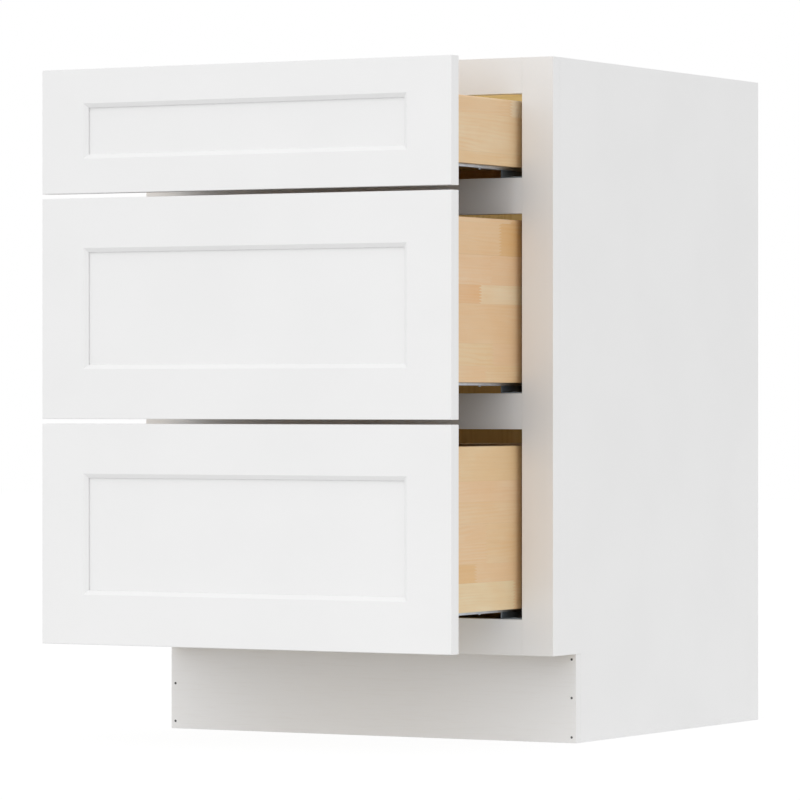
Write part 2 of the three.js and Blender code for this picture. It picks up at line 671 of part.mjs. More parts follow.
/** Cabinet member: a U-shaped track with a foot on the rail, a low nose and a bracket on the back. */
function fixedMember(box) {
  const trackEndY = closedBoxBackY + REAR_TAIL;
  const path = [
    [fixedOuterU, fixedTopW],
    [fixedOuterU, fixedBaseW],
    [fixedInnerU, fixedBaseW],
    [fixedInnerU, fixedTopW],
  ];
  const track = slideMember(path, box.lowZ, [FIXED_SETBACK, trackEndY]);
  const middleX = boxX - (fixedOuterU + fixedInnerU) / 2;
  const baseZ = box.lowZ + fixedBaseW - half;
  const bracketBackY = backFrontY - SEAT_GAP;
  const foot = block(
    [middleX - BRACKET_FOOT_WIDTH / 2, middleX + BRACKET_FOOT_WIDTH / 2],
    [trackEndY - REAR_TAIL, bracketBackY],
    [baseZ, baseZ + STEEL],
  );
  const plate = block(
    [middleX - BRACKET_PLATE_WIDTH / 2, middleX + BRACKET_PLATE_WIDTH / 2],
    [bracketBackY - STEEL, bracketBackY],
    [baseZ, baseZ + BRACKET_PLATE_HEIGHT],
  );
  const outerLegX = boxX - fixedOuterU;
  const frontFoot = block(
    [outerLegX, openingX - FRONT_FOOT_GAP],
    [FIXED_SETBACK, FIXED_SETBACK + FRONT_FOOT_LENGTH],
    [baseZ, baseZ + STEEL],
  );
  const bracketHoles = [-BRACKET_HOLE_SPREAD, BRACKET_HOLE_SPREAD].map((aside) =>
    bar(
      "y",
      [middleX + aside, bracketBackY, baseZ + BRACKET_PLATE_HEIGHT - BRACKET_HOLE_DROP],
      SCREW_HOLE_RADIUS,
      4 * STEEL,
    ),
  );
  const footHole = bar(
    "z",
    [(outerLegX + openingX) / 2, FRAME_THICKNESS / 2, baseZ],
    SCREW_HOLE_RADIUS,
    4 * STEEL,
  );
  const overNose = block(
    [middleX - SLIDE_WIDTH, middleX + SLIDE_WIDTH],
    [FIXED_SETBACK - NOSE_LENGTH, FIXED_SETBACK + NOSE_LOW_LENGTH],
    [box.lowZ - NOSE_DROP, box.panelZ],
  );
  const besideNose = block(
    [middleX - SLIDE_WIDTH, outerLegX - half],
    [FIXED_SETBACK - NOSE_LENGTH, FIXED_SETBACK + NOSE_LENGTH],
    [baseZ - STEEL, box.panelZ],
  );
  return cut(join([track, foot, plate, frontFoot]), [overNose, besideNose, footHole, ...bracketHoles]);
}

/** Locking clip: a moulded body, its sprung release lever and its adjuster wheel, under the box. */
function lockingClip(box) {
  const outerX = boxX - slideU.drawerInner - SEAT_GAP;
  const frontY = box.frontInsideY + SEAT_GAP;
  const topZ = box.panelZ - SEAT_GAP;
  const innerX = outerX - CLIP_WIDTH;
  const leverX = outerX - CLIP_LEVER_WIDTH;
  const shoulderY = frontY + CLIP_LENGTH / 2;
  const endY = frontY + CLIP_LENGTH;
  const plan = new THREE.Shape();
  plan.moveTo(outerX, frontY);
  plan.lineTo(outerX, endY);
  plan.lineTo(leverX + CLIP_CORNER, endY);
  plan.absarc(leverX + CLIP_CORNER, endY - CLIP_CORNER, CLIP_CORNER, Math.PI / 2, Math.PI, false);
  plan.lineTo(leverX, shoulderY);
  plan.lineTo(innerX + CLIP_CORNER, shoulderY);
  plan.absarc(innerX + CLIP_CORNER, shoulderY - CLIP_CORNER, CLIP_CORNER, Math.PI / 2, Math.PI, false);
  plan.lineTo(innerX, frontY);
  plan.closePath();
  const body = extrudeUpZ(plan, [topZ - CLIP_HEIGHT, topZ]);
  const wheel = bar(
    "z",
    [innerX + CLIP_WHEEL_RADIUS + CLIP_CORNER, frontY + CLIP_WHEEL_RADIUS + CLIP_CORNER, topZ - CLIP_HEIGHT],
    CLIP_WHEEL_RADIUS,
    2 * CLIP_WHEEL_DEPTH,
  );
  const slit = block(
    [leverX - CLIP_SLIT_WIDTH, leverX],
    [shoulderY - CLIP_SLIT_LENGTH, endY],
    [topZ - 2 * CLIP_HEIGHT, topZ + CLIP_HEIGHT],
  );
  return cut(join([body, wheel]), [slit]);
}

// ---------------------------------------------------------------- drawers
const DRAWERS = ["top", "middle", "bottom"];

function buildDrawers(group) {
  const openings = openingSpans();
  const fronts = frontSpans();
  DRAWERS.forEach((drawer, i) => {
    const box = boxLayout(openings[i], BOX_TOP_CLEARANCES[i]);
    const railWidth = i === 0 ? TOP_FRONT_RAIL_WIDTH : FRONT_RAIL_WIDTH;
    const pulled = new THREE.Group(); // what moves with the drawer
    const followed = new THREE.Group(); // the intermediate members move half as far
    pulled.position.y = -DRAWER_PULL;
    followed.position.y = -DRAWER_PULL / 2;
    group.add(pulled, followed);
    addPiece(pulled, `front_frame_${drawer}`, frontFrame(fronts[i], railWidth), whitePaint());
    addPiece(pulled, `front_panel_${drawer}`, frontPanel(fronts[i], railWidth), whitePaint());
    addPiece(pulled, `box_front_${drawer}`, boxFront(box), mapleStrip());
    addPiece(pulled, `box_back_${drawer}`, boxBack(box), mapleStrip());
    addPiece(pulled, `box_bottom_${drawer}`, boxBottom(box), birchPly());
    for (const [hand, turned] of SIDES) {
      addPiece(pulled, `box_side_${drawer}_${hand}`, turned(boxSide(box)), mapleStrip());
      addPiece(pulled, `slide_drawer_member_${drawer}_${hand}`, turned(drawerMember(box)), zincSteel());
      addPiece(pulled, `locking_clip_${drawer}_${hand}`, turned(lockingClip(box)), greyPlastic());
      addPiece(followed, `slide_middle_member_${drawer}_${hand}`, turned(midMember(box)), zincSteel());
      addPiece(group, `slide_cabinet_member_${drawer}_${hand}`, turned(fixedMember(box)), darkSteel());
    }
  });
}

// ---------------------------------------------------------------- assembly
// The origin is on the floor, below the middle of the space the cabinet takes with its drawers out.
cabinet.position.y = -originY;
buildCarcass(cabinet);
buildFaceFrame(cabinet);
buildDrawers(cabinet);

export default cabinet;
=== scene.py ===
"""Base cabinet with three drawers, dressed and lit for its portrait.

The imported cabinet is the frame. This file adds its finishes, its small fasteners, the floor, the
lamps and the camera. Lengths are metres in the cabinet's own frame: X runs to its right as seen
from the front, Y to its back, and Z up from the floor.
"""

import logging
import math
from dataclasses import dataclass
from enum import Enum
from typing import Iterable, Sequence

import bmesh
import bpy
from mathutils import Matrix, Vector


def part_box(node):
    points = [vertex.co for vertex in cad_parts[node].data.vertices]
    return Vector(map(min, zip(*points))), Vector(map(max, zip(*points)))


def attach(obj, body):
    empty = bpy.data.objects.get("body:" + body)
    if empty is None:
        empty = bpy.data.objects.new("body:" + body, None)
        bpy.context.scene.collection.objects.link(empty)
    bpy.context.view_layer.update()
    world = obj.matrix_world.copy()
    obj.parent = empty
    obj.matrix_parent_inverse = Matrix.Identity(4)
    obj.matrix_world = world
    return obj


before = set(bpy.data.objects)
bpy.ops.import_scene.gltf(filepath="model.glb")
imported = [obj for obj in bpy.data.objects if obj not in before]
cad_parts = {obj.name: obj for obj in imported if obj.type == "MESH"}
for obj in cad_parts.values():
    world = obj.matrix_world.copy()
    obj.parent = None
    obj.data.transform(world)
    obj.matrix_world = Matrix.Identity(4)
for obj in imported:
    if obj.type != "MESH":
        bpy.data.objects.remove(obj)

log = logging.getLogger("cabinet")

MM = 0.001
Colour = tuple[float, float, float, float]
WHITE: Colour = (1.0, 1.0, 1.0, 1.0)


# ---------------------------------------------------------------- words for places and pieces
class Axis(Enum):
    """An axis of the cabinet, as an index into a vector."""

    X = 0
    Y = 1
    Z = 2


class Hand(Enum):
    """A side of the cabinet as seen from the front, with the sign of its X."""

    LEFT = -1
    RIGHT = 1

    @property
    def word(self) -> str:
        """The side's name as node names spell it."""
        return self.name.lower()

    def outer(self, box: tuple[Vector, Vector]) -> float:
        """X of a box's face that lies farther from the cabinet's middle."""
        return (box[1] if self is Hand.RIGHT else box[0]).x


class Tier(Enum):
    """One of the three drawers, with the seed of its boards' figure."""

    TOP = 8
    MIDDLE = 13
    BOTTOM = 2

    @property
    def word(self) -> str:
        """The drawer's name as node names spell it."""
        return self.name.lower()

    @property
    def body(self) -> str:
        """The moving body that this drawer's pieces ride on."""
        return f"drawer_{self.word}"


def srgb(red: int, green: int, blue: int) -> Colour:
    """Turns a colour as seen on a screen into the linear one that shaders take.

    Args:
        red: Red from 0 to 255.
        green: Green from 0 to 255.
        blue: Blue from 0 to 255.

    Returns:
        The linear colour with full alpha.
    """

    def linear(level: int) -> float:
        """One channel of the sRGB curve."""
        share = level / 255
        return share / 12.92 if share <= 0.04045 else ((share + 0.055) / 1.055) ** 2.4

    return (linear(red), linear(green), linear(blue), 1.0)


# ---------------------------------------------------------------- shader expressions
class Signal:
    """An output socket that takes part in arithmetic. Each operator adds one Math node."""

    def __init__(self, graph: "Graph", socket: bpy.types.NodeSocket | None) -> None:
        """Keeps the socket and the graph that it belongs to."""
        self.graph = graph
        self.socket = socket

    def _with(self, operation: str, *operands: "Signal | float") -> "Signal":
        """Adds a Math node for an operation on these operands."""
        return self.graph.math(operation, *operands)

    def __add__(self, other: "Signal | float") -> "Signal":
        """Sum."""
        return self._with("ADD", self, other)

    __radd__ = __add__

    def __sub__(self, other: "Signal | float") -> "Signal":
        """Difference."""
        return self._with("SUBTRACT", self, other)

    def __rsub__(self, other: "Signal | float") -> "Signal":
        """Difference from a number."""
        return self._with("SUBTRACT", other, self)

    def __mul__(self, other: "Signal | float") -> "Signal":
        """Product."""
        return self._with("MULTIPLY", self, other)

    __rmul__ = __mul__

    def __truediv__(self, other: "Signal | float") -> "Signal":
        """Quotient."""
        return self._with("DIVIDE", self, other)

    def __pow__(self, other: "Signal | float") -> "Signal":
        """Power."""
        return self._with("POWER", self, other)

    def __gt__(self, other: "Signal | float") -> "Signal":
        """1 where this is above the other, else 0."""
        return self._with("GREATER_THAN", self, other)

    def __abs__(self) -> "Signal":
        """Size without its sign."""
        return self._with("ABSOLUTE", self)

    def floor(self) -> "Signal":
        """Whole part."""
        return self._with("FLOOR", self)

    def fraction(self) -> "Signal":
        """What is left above the whole part."""
        return self._with("FRACT", self)

    def sine(self) -> "Signal":
        """Sine of this as radians."""
        return self._with("SINE", self)

    def zigzag(self) -> "Signal":
        """A triangle wave from 0 to 1 with a period of 1."""
        return abs(self.fraction() - 0.5) * 2

    def near(self, value: float, reach: float) -> "Signal":
        """1 at a value, falling to 0 at a distance of reach."""
        return self._with("MAXIMUM", 1 - abs(self - value) / reach, 0.0)

    def rise(self, low: float, high: float) -> "Signal":
        """Climbs smoothly from 0 at low to 1 at high.

        Args:
            low: Where the climb starts.
            high: Where it ends.

        Returns:
            The climb, held at 0 and 1 outside.
        """
        settings = {"interpolation_type": "SMOOTHSTEP"}
        inputs = {"Value": self, "From Min": low, "From Max": high}
        return self.graph.node("ShaderNodeMapRange", settings, inputs)


class Graph:
    """The node tree of one material or of the world."""

    # Sockets of the Mix node that belong to colours.
    MIX_FACTOR = 0
    MIX_FIRST = 6
    MIX_SECOND = 7
    MIX_RESULT = 2

    def __init__(self, tree: bpy.types.NodeTree) -> None:
        """Starts on an empty tree."""
        tree.nodes.clear()
        self.tree = tree

    def node(
        self,
        kind: str,
        settings: dict[str, object] | None = None,
        inputs: dict[str | int, object] | None = None,
        output: str | int = 0,
    ) -> Signal:
        """Adds one node.

        Args:
            kind: The node's type.
            settings: Its properties, set first. "stops" are a ramp's (place, colour) pairs.
            inputs: Values or signals for its sockets, by name or index.
            output: The socket that is wanted.

        Returns:
            That output as a signal, or a bare signal from a node that ends the tree.
        """
        made = self.tree.nodes.new(kind)
        for name, value in (settings or {}).items():
            if name == "stops":
                self._set_stops(made.color_ramp, value)
            else:
                setattr(made, name, value)
        for key, value in (inputs or {}).items():
            if isinstance(value, Signal):
                self.tree.links.new(value.socket, made.inputs[key])
            else:
                made.inputs[key].default_value = value
        return Signal(self, made.outputs[output] if made.outputs else None)

    @staticmethod
    def _set_stops(ramp: bpy.types.ColorRamp, stops: Sequence[tuple[float, Colour]]) -> None:
        """Gives a ramp its stops.

        Args:
            ramp: The ramp of a new node.
            stops: Its (place, colour) pairs.
        """
        while len(ramp.elements) < len(stops):
            ramp.elements.new(1.0)
        for element, (place, colour) in zip(ramp.elements, stops):
            element.position = place
            element.color = colour

    def math(self, operation: str, *operands: Signal | float) -> Signal:
        """The result of a Math node on these operands, in order."""
        return self.node("ShaderNodeMath", {"operation": operation}, dict(enumerate(operands)))

    def split(self, vector: Signal) -> list[Signal]:
        """The three parts of a vector, in the order of Axis."""
        parts = self.node("ShaderNodeSeparateXYZ", inputs={0: vector}).socket.node.outputs
        return [Signal(self, part) for part in parts]

    def vector(self, x: Signal | float, y: Signal | float, z: Signal | float) -> Signal:
        """A vector from three parts."""
        return self.node("ShaderNodeCombineXYZ", inputs={0: x, 1: y, 2: z})

    def place(self) -> list[Signal]:
        """Where the surface point lies on the piece at rest, in metres."""
        return self.split(self.node("ShaderNodeTexCoord", output="Object"))

    def facing(self) -> list[Signal]:
        """The way the surface faces, in the piece's own axes."""
        return self.split(self.node("ShaderNodeTexCoord", output="Normal"))

    def noise(self, where: Signal, scale: float, detail: float = 2.0, rough: float = 0.5) -> Signal:
        """Soft noise from 0 to 1, with scale lumps per unit, detail finer octaves and their strength."""
        inputs = {"Vector": where, "Scale": scale, "Detail": detail, "Roughness": rough}
        return self.node("ShaderNodeTexNoise", inputs=inputs)

    def random(self, where: Signal) -> Signal:
        """An even random value for each cell of a vector of whole numbers."""
        return self.node("ShaderNodeTexWhiteNoise", inputs={"Vector": where})

    def mix(self, share: Signal, first: Signal | Colour, second: Signal | Colour) -> Signal:
        """A blend of two colours, from a share of 0 for the first to 1 for the second."""
        inputs = {self.MIX_FACTOR: share, self.MIX_FIRST: first, self.MIX_SECOND: second}
        return self.node("ShaderNodeMix", {"data_type": "RGBA"}, inputs, self.MIX_RESULT)

    def ramp(self, value: Signal, stops: Sequence[tuple[float, Colour]]) -> Signal:
        """A colour read from a ramp of stops."""
        return self.node("ShaderNodeValToRGB", {"stops": stops}, {0: value})

    def shade(self, colour: Signal, level: Signal | float) -> Signal:
        """A colour made darker or lighter by a factor."""
        return self.node("ShaderNodeVectorMath", {"operation": "SCALE"}, {0: colour, "Scale": level})

    def times(self, first: Signal, second: Signal) -> Signal:
        """One colour multiplied by another."""
        return self.node("ShaderNodeVectorMath", {"operation": "MULTIPLY"}, {0: first, 1: second})

    def bump(self, height: Signal, depth: float) -> Signal:
        """A normal bent by a height from 0 to 1 that stands for depth metres."""
        return self.node("ShaderNodeBump", inputs={"Distance": depth, "Height": height})


@dataclass(frozen=True)
class Layer:
    """Soft noise from 0 to 1 that is drawn out along a piece's own directions.

    Attributes:
        lumps: Lumps in a metre along each of three directions.
        detail: Octaves of finer noise.
        rough: How strong the finer octaves are.
        moved: The directions in which a shift moves it.
    """

    lumps: tuple[float, float, float]
    detail: float = 2.0
    rough: float = 0.5
    moved: tuple[int, ...] = ()

    def draw(self, place: Sequence[Signal], shift: Signal | float = 0.0) -> Signal:
        """Draws the noise.

        Args:
            place: The three parts of the place, in metres.
            shift: What moves it.

        Returns:
            The noise value.
        """
        parts = [part * lumps for part, lumps in zip(place, self.lumps)]
        for way in self.moved:
            parts[way] = parts[way] + shift
        graph = parts[0].graph
        return graph.noise(graph.vector(*parts), scale=1.0, detail=self.detail, rough=self.rough)


# ---------------------------------------------------------------- finishes
@dataclass(frozen=True)
class Surface:
    """What a finish varies over a piece.

    Attributes:
        colour: The base colour.
        roughness: The gloss, from 0 for a mirror to 1 for chalk.
        height: Fine relief from 0 to 1.
    """

    colour: Signal
    roughness: Signal
    height: Signal

    def over(self, mask: Signal, below: "Surface") -> "Surface":
        """This surface where the mask is 1, with another one elsewhere.

        Args:
            mask: Where this surface lies.
            below: The surface that shows where the mask is 0.

        Returns:
            The two together.
        """
        graph = mask.graph
        return Surface(
            graph.mix(mask, below.colour, self.colour),
            below.roughness + (self.roughness - below.roughness) * mask,
            below.height + (self.height - below.height) * mask,
        )


@dataclass(frozen=True)
class Finish:
    """What all finishes share.

    Attributes:
        name: The material's name.
        relief: What the full range of the surface's height stands for.
        metal: 1 for bare metal, less for a dull plating, and 0 for all else.
    """

    name: str
    relief: float = 0.03 * MM
    metal: float = 0.0

    def surface(self, graph: Graph) -> Surface:
        """Draws what varies. Each finish has its own."""
        raise NotImplementedError

    def material(self) -> bpy.types.Material:
        """The material of this finish, made once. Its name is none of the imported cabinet's materials.

        Returns:
            The material.
        """
        known = bpy.data.materials.get(self.name)
        if known is not None:
            return known
        made = bpy.data.materials.new(self.name)
        made.use_nodes = True
        graph = Graph(made.node_tree)
        surface = self.surface(graph)
        shader = graph.node(
            "ShaderNodeBsdfPrincipled",
            inputs={
                "Base Color": surface.colour,
                "Roughness": surface.roughness,
                "Metallic": self.metal,
                "Normal": graph.bump(surface.height, self.relief),
            },
        )
        graph.node("ShaderNodeOutputMaterial", inputs={"Surface": shader})
        return made


@dataclass(frozen=True)
class SatinPaint(Finish):
    """Sprayed satin paint: nearly even, with faint clouding and the fine ripple of a spray coat.

    Attributes:
        tone: The paint's colour.
        shadow_tone: The colour of its faint clouds.
        gloss: Roughness at its most even.
        cloud: Clouds in a metre.
        ripple: Ripples in a metre.
        grit: Specks in a metre.
    """

    tone: Colour = srgb(241, 241, 241)
    shadow_tone: Colour = srgb(238, 238, 238)
    gloss: float = 0.4
    cloud: float = 7.0
    ripple: float = 420.0
    grit: float = 2600.0

    # Where the clouds rise, and how much each part changes the tone, the gloss and the relief.
    CLOUD_EDGES = (0.3, 0.75)
    CLOUD_TINT = 0.6
    GRIT_TINT = 0.15
    CLOUD_GLOSS = 0.05
    RIPPLE_GLOSS = 0.06
    RIPPLE_RELIEF = 0.7
    GRIT_RELIEF = 0.3

    def surface(self, graph: Graph) -> Surface:
        """Clouds, ripple and grit of the paint.

        Args:
            graph: The material's node tree.

        Returns:
            What varies over the piece.
        """
        where = graph.vector(*graph.place())
        clouds = graph.noise(where, self.cloud, detail=3.0)
        ripple = graph.noise(where, self.ripple)
        grit = graph.noise(where, self.grit, detail=1.0)
        shadow = clouds.rise(*self.CLOUD_EDGES) * self.CLOUD_TINT + grit * self.GRIT_TINT
        roughness = self.gloss + (clouds - 0.5) * self.CLOUD_GLOSS + (ripple - 0.5) * self.RIPPLE_GLOSS
        height = ripple * self.RIPPLE_RELIEF + grit * self.GRIT_RELIEF
        return Surface(graph.mix(shadow, self.tone, self.shadow_tone), roughness, height)


@dataclass(frozen=True)
class EmbossedFoil(Finish):
    """Matt white foil with a faint pressed grain that runs along X.

    Attributes:
        tone: The foil's colour.
        groove_tone: The colour in the pressed grain.
        gloss: Roughness between the grain.
    """

    tone: Colour = srgb(241, 241, 241)
    groove_tone: Colour = srgb(237, 236, 235)
    gloss: float = 0.5

    # The pressed grain, and how much it changes the tone, the gloss and the relief.
    PORES = Layer((22.0, 700.0, 700.0), detail=3.0)
    WAVES = Layer((2.0, 30.0, 30.0))
    PORE_EDGES = (0.5, 0.72)
    PORE_TINT = 0.5
    WAVE_TINT = 0.3
    PORE_GLOSS = 0.08
    PORE_DEPTH = 0.8

    def surface(self, graph: Graph) -> Surface:
        """Pressed pores and slow waves along the board.

        Args:
            graph: The material's node tree.

        Returns:
            What varies over the piece.
        """
        place = graph.place()
        pores = self.PORES.draw(place).rise(*self.PORE_EDGES)
        waves = self.WAVES.draw(place)
        tint = pores * self.PORE_TINT + waves * self.WAVE_TINT
        colour = graph.mix(tint, self.tone, self.groove_tone)
        return Surface(colour, self.gloss + pores * self.PORE_GLOSS, 1 - pores * self.PORE_DEPTH)


@dataclass(frozen=True)
class LongGrain:
    """The figure of clear-coated wood, drawn in the wood's own directions.

    Attributes:
        tones: Pale, middle and dark tone of the wood.
        ring_width: Usual distance between growth rings on the face.
        contrast: How strongly the rings show, from 0 to 1.
        blotch: How strongly broad soft patches show, from 0 to 1.
        gloss: Usual roughness of the face.
        end_gloss: Roughness of the sawn ends where they are smoothest.
    """

    tones: tuple[Colour, Colour, Colour]
    ring_width: float
    contrast: float
    blotch: float = 0.5
    gloss: float = 0.46
    end_gloss: float = 0.62

    # Layers drawn out along the fibres (0), across the face (1) and through the board (2).
    BENDS = Layer((1.9, 11.0, 11.0), moved=(0, 1))
    SWAY = Layer((7.0, 42.0, 42.0), detail=3.0, moved=(0, 2))
    FADES = Layer((5.0, 33.0, 33.0), detail=1.0, moved=(2,))
    STREAKS = Layer((5.0, 260.0, 260.0), detail=3.0, rough=0.6, moved=(0, 1))
    FIBRE = Layer((16.0, 820.0, 820.0), rough=0.6, moved=(0,))
    FLECKS = Layer((190.0, 1500.0, 1500.0), detail=1.0, moved=(1,))
    PATCHES = Layer((15.0, 30.0, 30.0), detail=3.0, moved=(1,))

    # Growth rings: their lean through the board, how far they wander in turns, and how dark they are.
    RING_LEAN = 0.6
    BEND_TURNS = 8.0
    SWAY_TURNS = 3.0
    RING_SHARPNESS = 1.6
    RING_MEAN = 0.35
    RING_TINT = 0.5

    # Where the fading layers rise, and how much each changes the tone, the gloss and the relief.
    FADE_EDGES = (0.35, 0.7)
    FLECK_EDGES = (0.66, 0.8)
    PATCH_TINT = 0.9
    STREAK_TINT = 0.32
    FIBRE_SHADE = 0.09
    FLECK_SHADE = 0.07
    FIBRE_GLOSS = 0.2
    FLECK_GLOSS = 0.15
    FIBRE_RELIEF = 0.7
    FLECK_RELIEF = 0.3

    # Sawn ends: pores and bends in a metre, how far the arcs wander in turns, and their shade.
    END_PORES = 1700.0
    END_BENDS = 14.0
    ARC_TURNS = 5.0
    END_SHADE = 0.86
    ARC_SHADE = 0.03
    PORE_GLOSS = 0.12

    def draw(
        self, along: Signal, across: Signal, through: Signal, tint: Signal | float, shift: Signal | float
    ) -> Surface:
        """Draws the figure.

        Args:
            along: Place along the fibres, in metres.
            across: Place across the face, in metres.
            through: Place through the board, in metres.
            tint: 0 for the palest wood and 1 for the darkest.
            shift: Moves the figure, so that no two boards match.

        Returns:
            The wood's surface.
        """
        graph = along.graph
        place = (along, across, through)
        bends = self.BENDS.draw(place, shift) * self.BEND_TURNS
        sway = self.SWAY.draw(place, shift) * self.SWAY_TURNS
        turns = (across + through * self.RING_LEAN) / self.ring_width + bends + sway
        rings = (turns * (2 * math.pi)).sine() * 0.5 + 0.5
        fades = self.FADES.draw(place, shift).rise(*self.FADE_EDGES)
        figure = (rings**self.RING_SHARPNESS - self.RING_MEAN) * fades * (self.RING_TINT * self.contrast)
        streaks = (self.STREAKS.draw(place, shift) - 0.5) * self.STREAK_TINT
        patches = (self.PATCHES.draw(place, shift) - 0.5) * (self.PATCH_TINT * self.blotch)
        stops = list(zip((0.0, 0.5, 1.0), self.tones))
        colour = graph.ramp(tint + figure + (patches + streaks), stops)
        fibre = self.FIBRE.draw(place, shift)
        flecks = self.FLECKS.draw(place, shift).rise(*self.FLECK_EDGES)
        level = 1 + (fibre - 0.5) * self.FIBRE_SHADE - flecks * self.FLECK_SHADE
        roughness = self.gloss + (fibre - 0.5) * self.FIBRE_GLOSS + flecks * self.FLECK_GLOSS
        height = fibre * self.FIBRE_RELIEF + (1 - flecks) * self.FLECK_RELIEF
        return Surface(graph.shade(colour, level), roughness, height)

    def end(self, first: Signal, second: Signal) -> Surface:
        """Draws the sawn end of the fibres.

        Args:
            first: One place across the fibres, in metres.
            second: The other place across them.

        Returns:
            The end grain's surface.
        """
        graph = first.graph
        where = graph.vector(first, second, 0.0)
        pores = graph.noise(where, self.END_PORES, rough=0.7)
        turns = second / self.ring_width + graph.noise(where, self.END_BENDS) * self.ARC_TURNS
        arcs = (turns * (2 * math.pi)).sine()
        wood = graph.mix(pores, self.tones[1], self.tones[2])
        colour = graph.shade(wood, self.END_SHADE + arcs * self.ARC_SHADE)
        return Surface(colour, self.end_gloss + pores * self.PORE_GLOSS, pores)


@dataclass(frozen=True)
class StaveBoard(Finish):
    """A drawer board: narrow strips glued edge to edge, each joined end to end with cut fingers.

    Attributes:
        run: The axis that the strips run along.
        seed: Sets this board's own figure.
        strip: Usual height of a strip.
        length: Usual length of wood between two finger joints.
        finger_pitch: Height of one finger.
        finger_depth: Length of one finger.
        TONES: Pale, middle and dark tone of the wood.
        ROSY: What the reddest strips multiply those by.
        STRAW: What the yellowest strips multiply them by.
    """

    run: Axis = Axis.Y
    seed: float = 1.0
    strip: float = 35 * MM
    length: float = 300 * MM
    finger_pitch: float = 3.8 * MM
    finger_depth: float = 9 * MM

    TONES = (srgb(233, 216, 188), srgb(228, 193, 151), srgb(224, 177, 123))
    ROSY = (1.01, 0.985, 0.985, 1.0)
    STRAW = (0.985, 1.015, 0.935, 1.0)

    # Each board of a box lies in a cell of its own, this long, whose strips start at their own height.
    BOARD_CELL = 0.2
    BOARD_STAGGER = 0.37

    # How unequal the strips are, and how fast that changes from strip to strip.
    STRIP_SWAY = 0.24
    STRIP_PACE = 2.3

    # The shortest woods of a strip as a share of the usual length, and how much longer they get.
    SHORTEST = 0.75
    LENGTH_SPREAD = 0.6

    # Where a strip's woods start, how far their tones spread, and how far their figures lie apart.
    START_SALT = 1.7
    START_SLIP = 7.0
    TINT_SPREAD = 3.0
    SHIFT_REACH = 60.0

    # Glue lines: reach as a share of a strip and of a wood's length, shade and depth.
    SEAM_REACH = 0.012
    JOINT_REACH = 0.0016
    GLUE_SHADE = 0.12
    GLUE_DEPTH = 0.5

    # How squarely a face looks along the strips where it starts and ends to show sawn ends.
    SAWN_EDGES = (0.55, 0.75)

    def surface(self, graph: Graph) -> Surface:
        """Strips, finger joints, glue lines and each strip's own wood.

        Args:
            graph: The material's node tree.

        Returns:
            What varies over the piece.
        """
        place = graph.place()
        along = place[self.run.value]
        up = place[Axis.Z.value]
        through = place[(Axis.X if self.run is Axis.Y else Axis.Y).value]
        board = (through / self.BOARD_CELL).floor() + self.seed
        even = up / self.strip + board * self.BOARD_STAGGER
        rows = even + (even * self.STRIP_PACE + self.seed).sine() * self.STRIP_SWAY
        row = rows.floor()
        start = graph.random(graph.vector(row, board, self.START_SALT))
        length = self.length * (self.SHORTEST + start * self.LENGTH_SPREAD)
        fingers = (up / self.finger_pitch).zigzag() * self.finger_depth
        pieces = (along + fingers) / length + start * self.START_SLIP
        piece = pieces.floor()
        spread = graph.random(graph.vector(row, piece, board)) - 0.5
        tint = spread * spread * spread * self.TINT_SPREAD + 0.5
        shift = graph.random(graph.vector(piece, board, row)) * self.SHIFT_REACH
        wood = LongGrain(self.TONES, ring_width=5 * MM, contrast=0.26)
        face = wood.draw(along, up, through, tint, shift)
        hue = graph.mix(graph.random(graph.vector(piece, row, board)), self.ROSY, self.STRAW)
        seam = rows.fraction().near(0.0, self.SEAM_REACH)
        joint = pieces.fraction().near(0.0, self.JOINT_REACH)
        line = graph.math("MAXIMUM", seam, joint)
        colour = graph.shade(graph.times(face.colour, hue), 1 - line * self.GLUE_SHADE)
        glued = Surface(colour, face.roughness, face.height - line * self.GLUE_DEPTH)
        sawn = abs(graph.facing()[self.run.value]).rise(*self.SAWN_EDGES)
        return wood.end(up, through).over(sawn, glued)


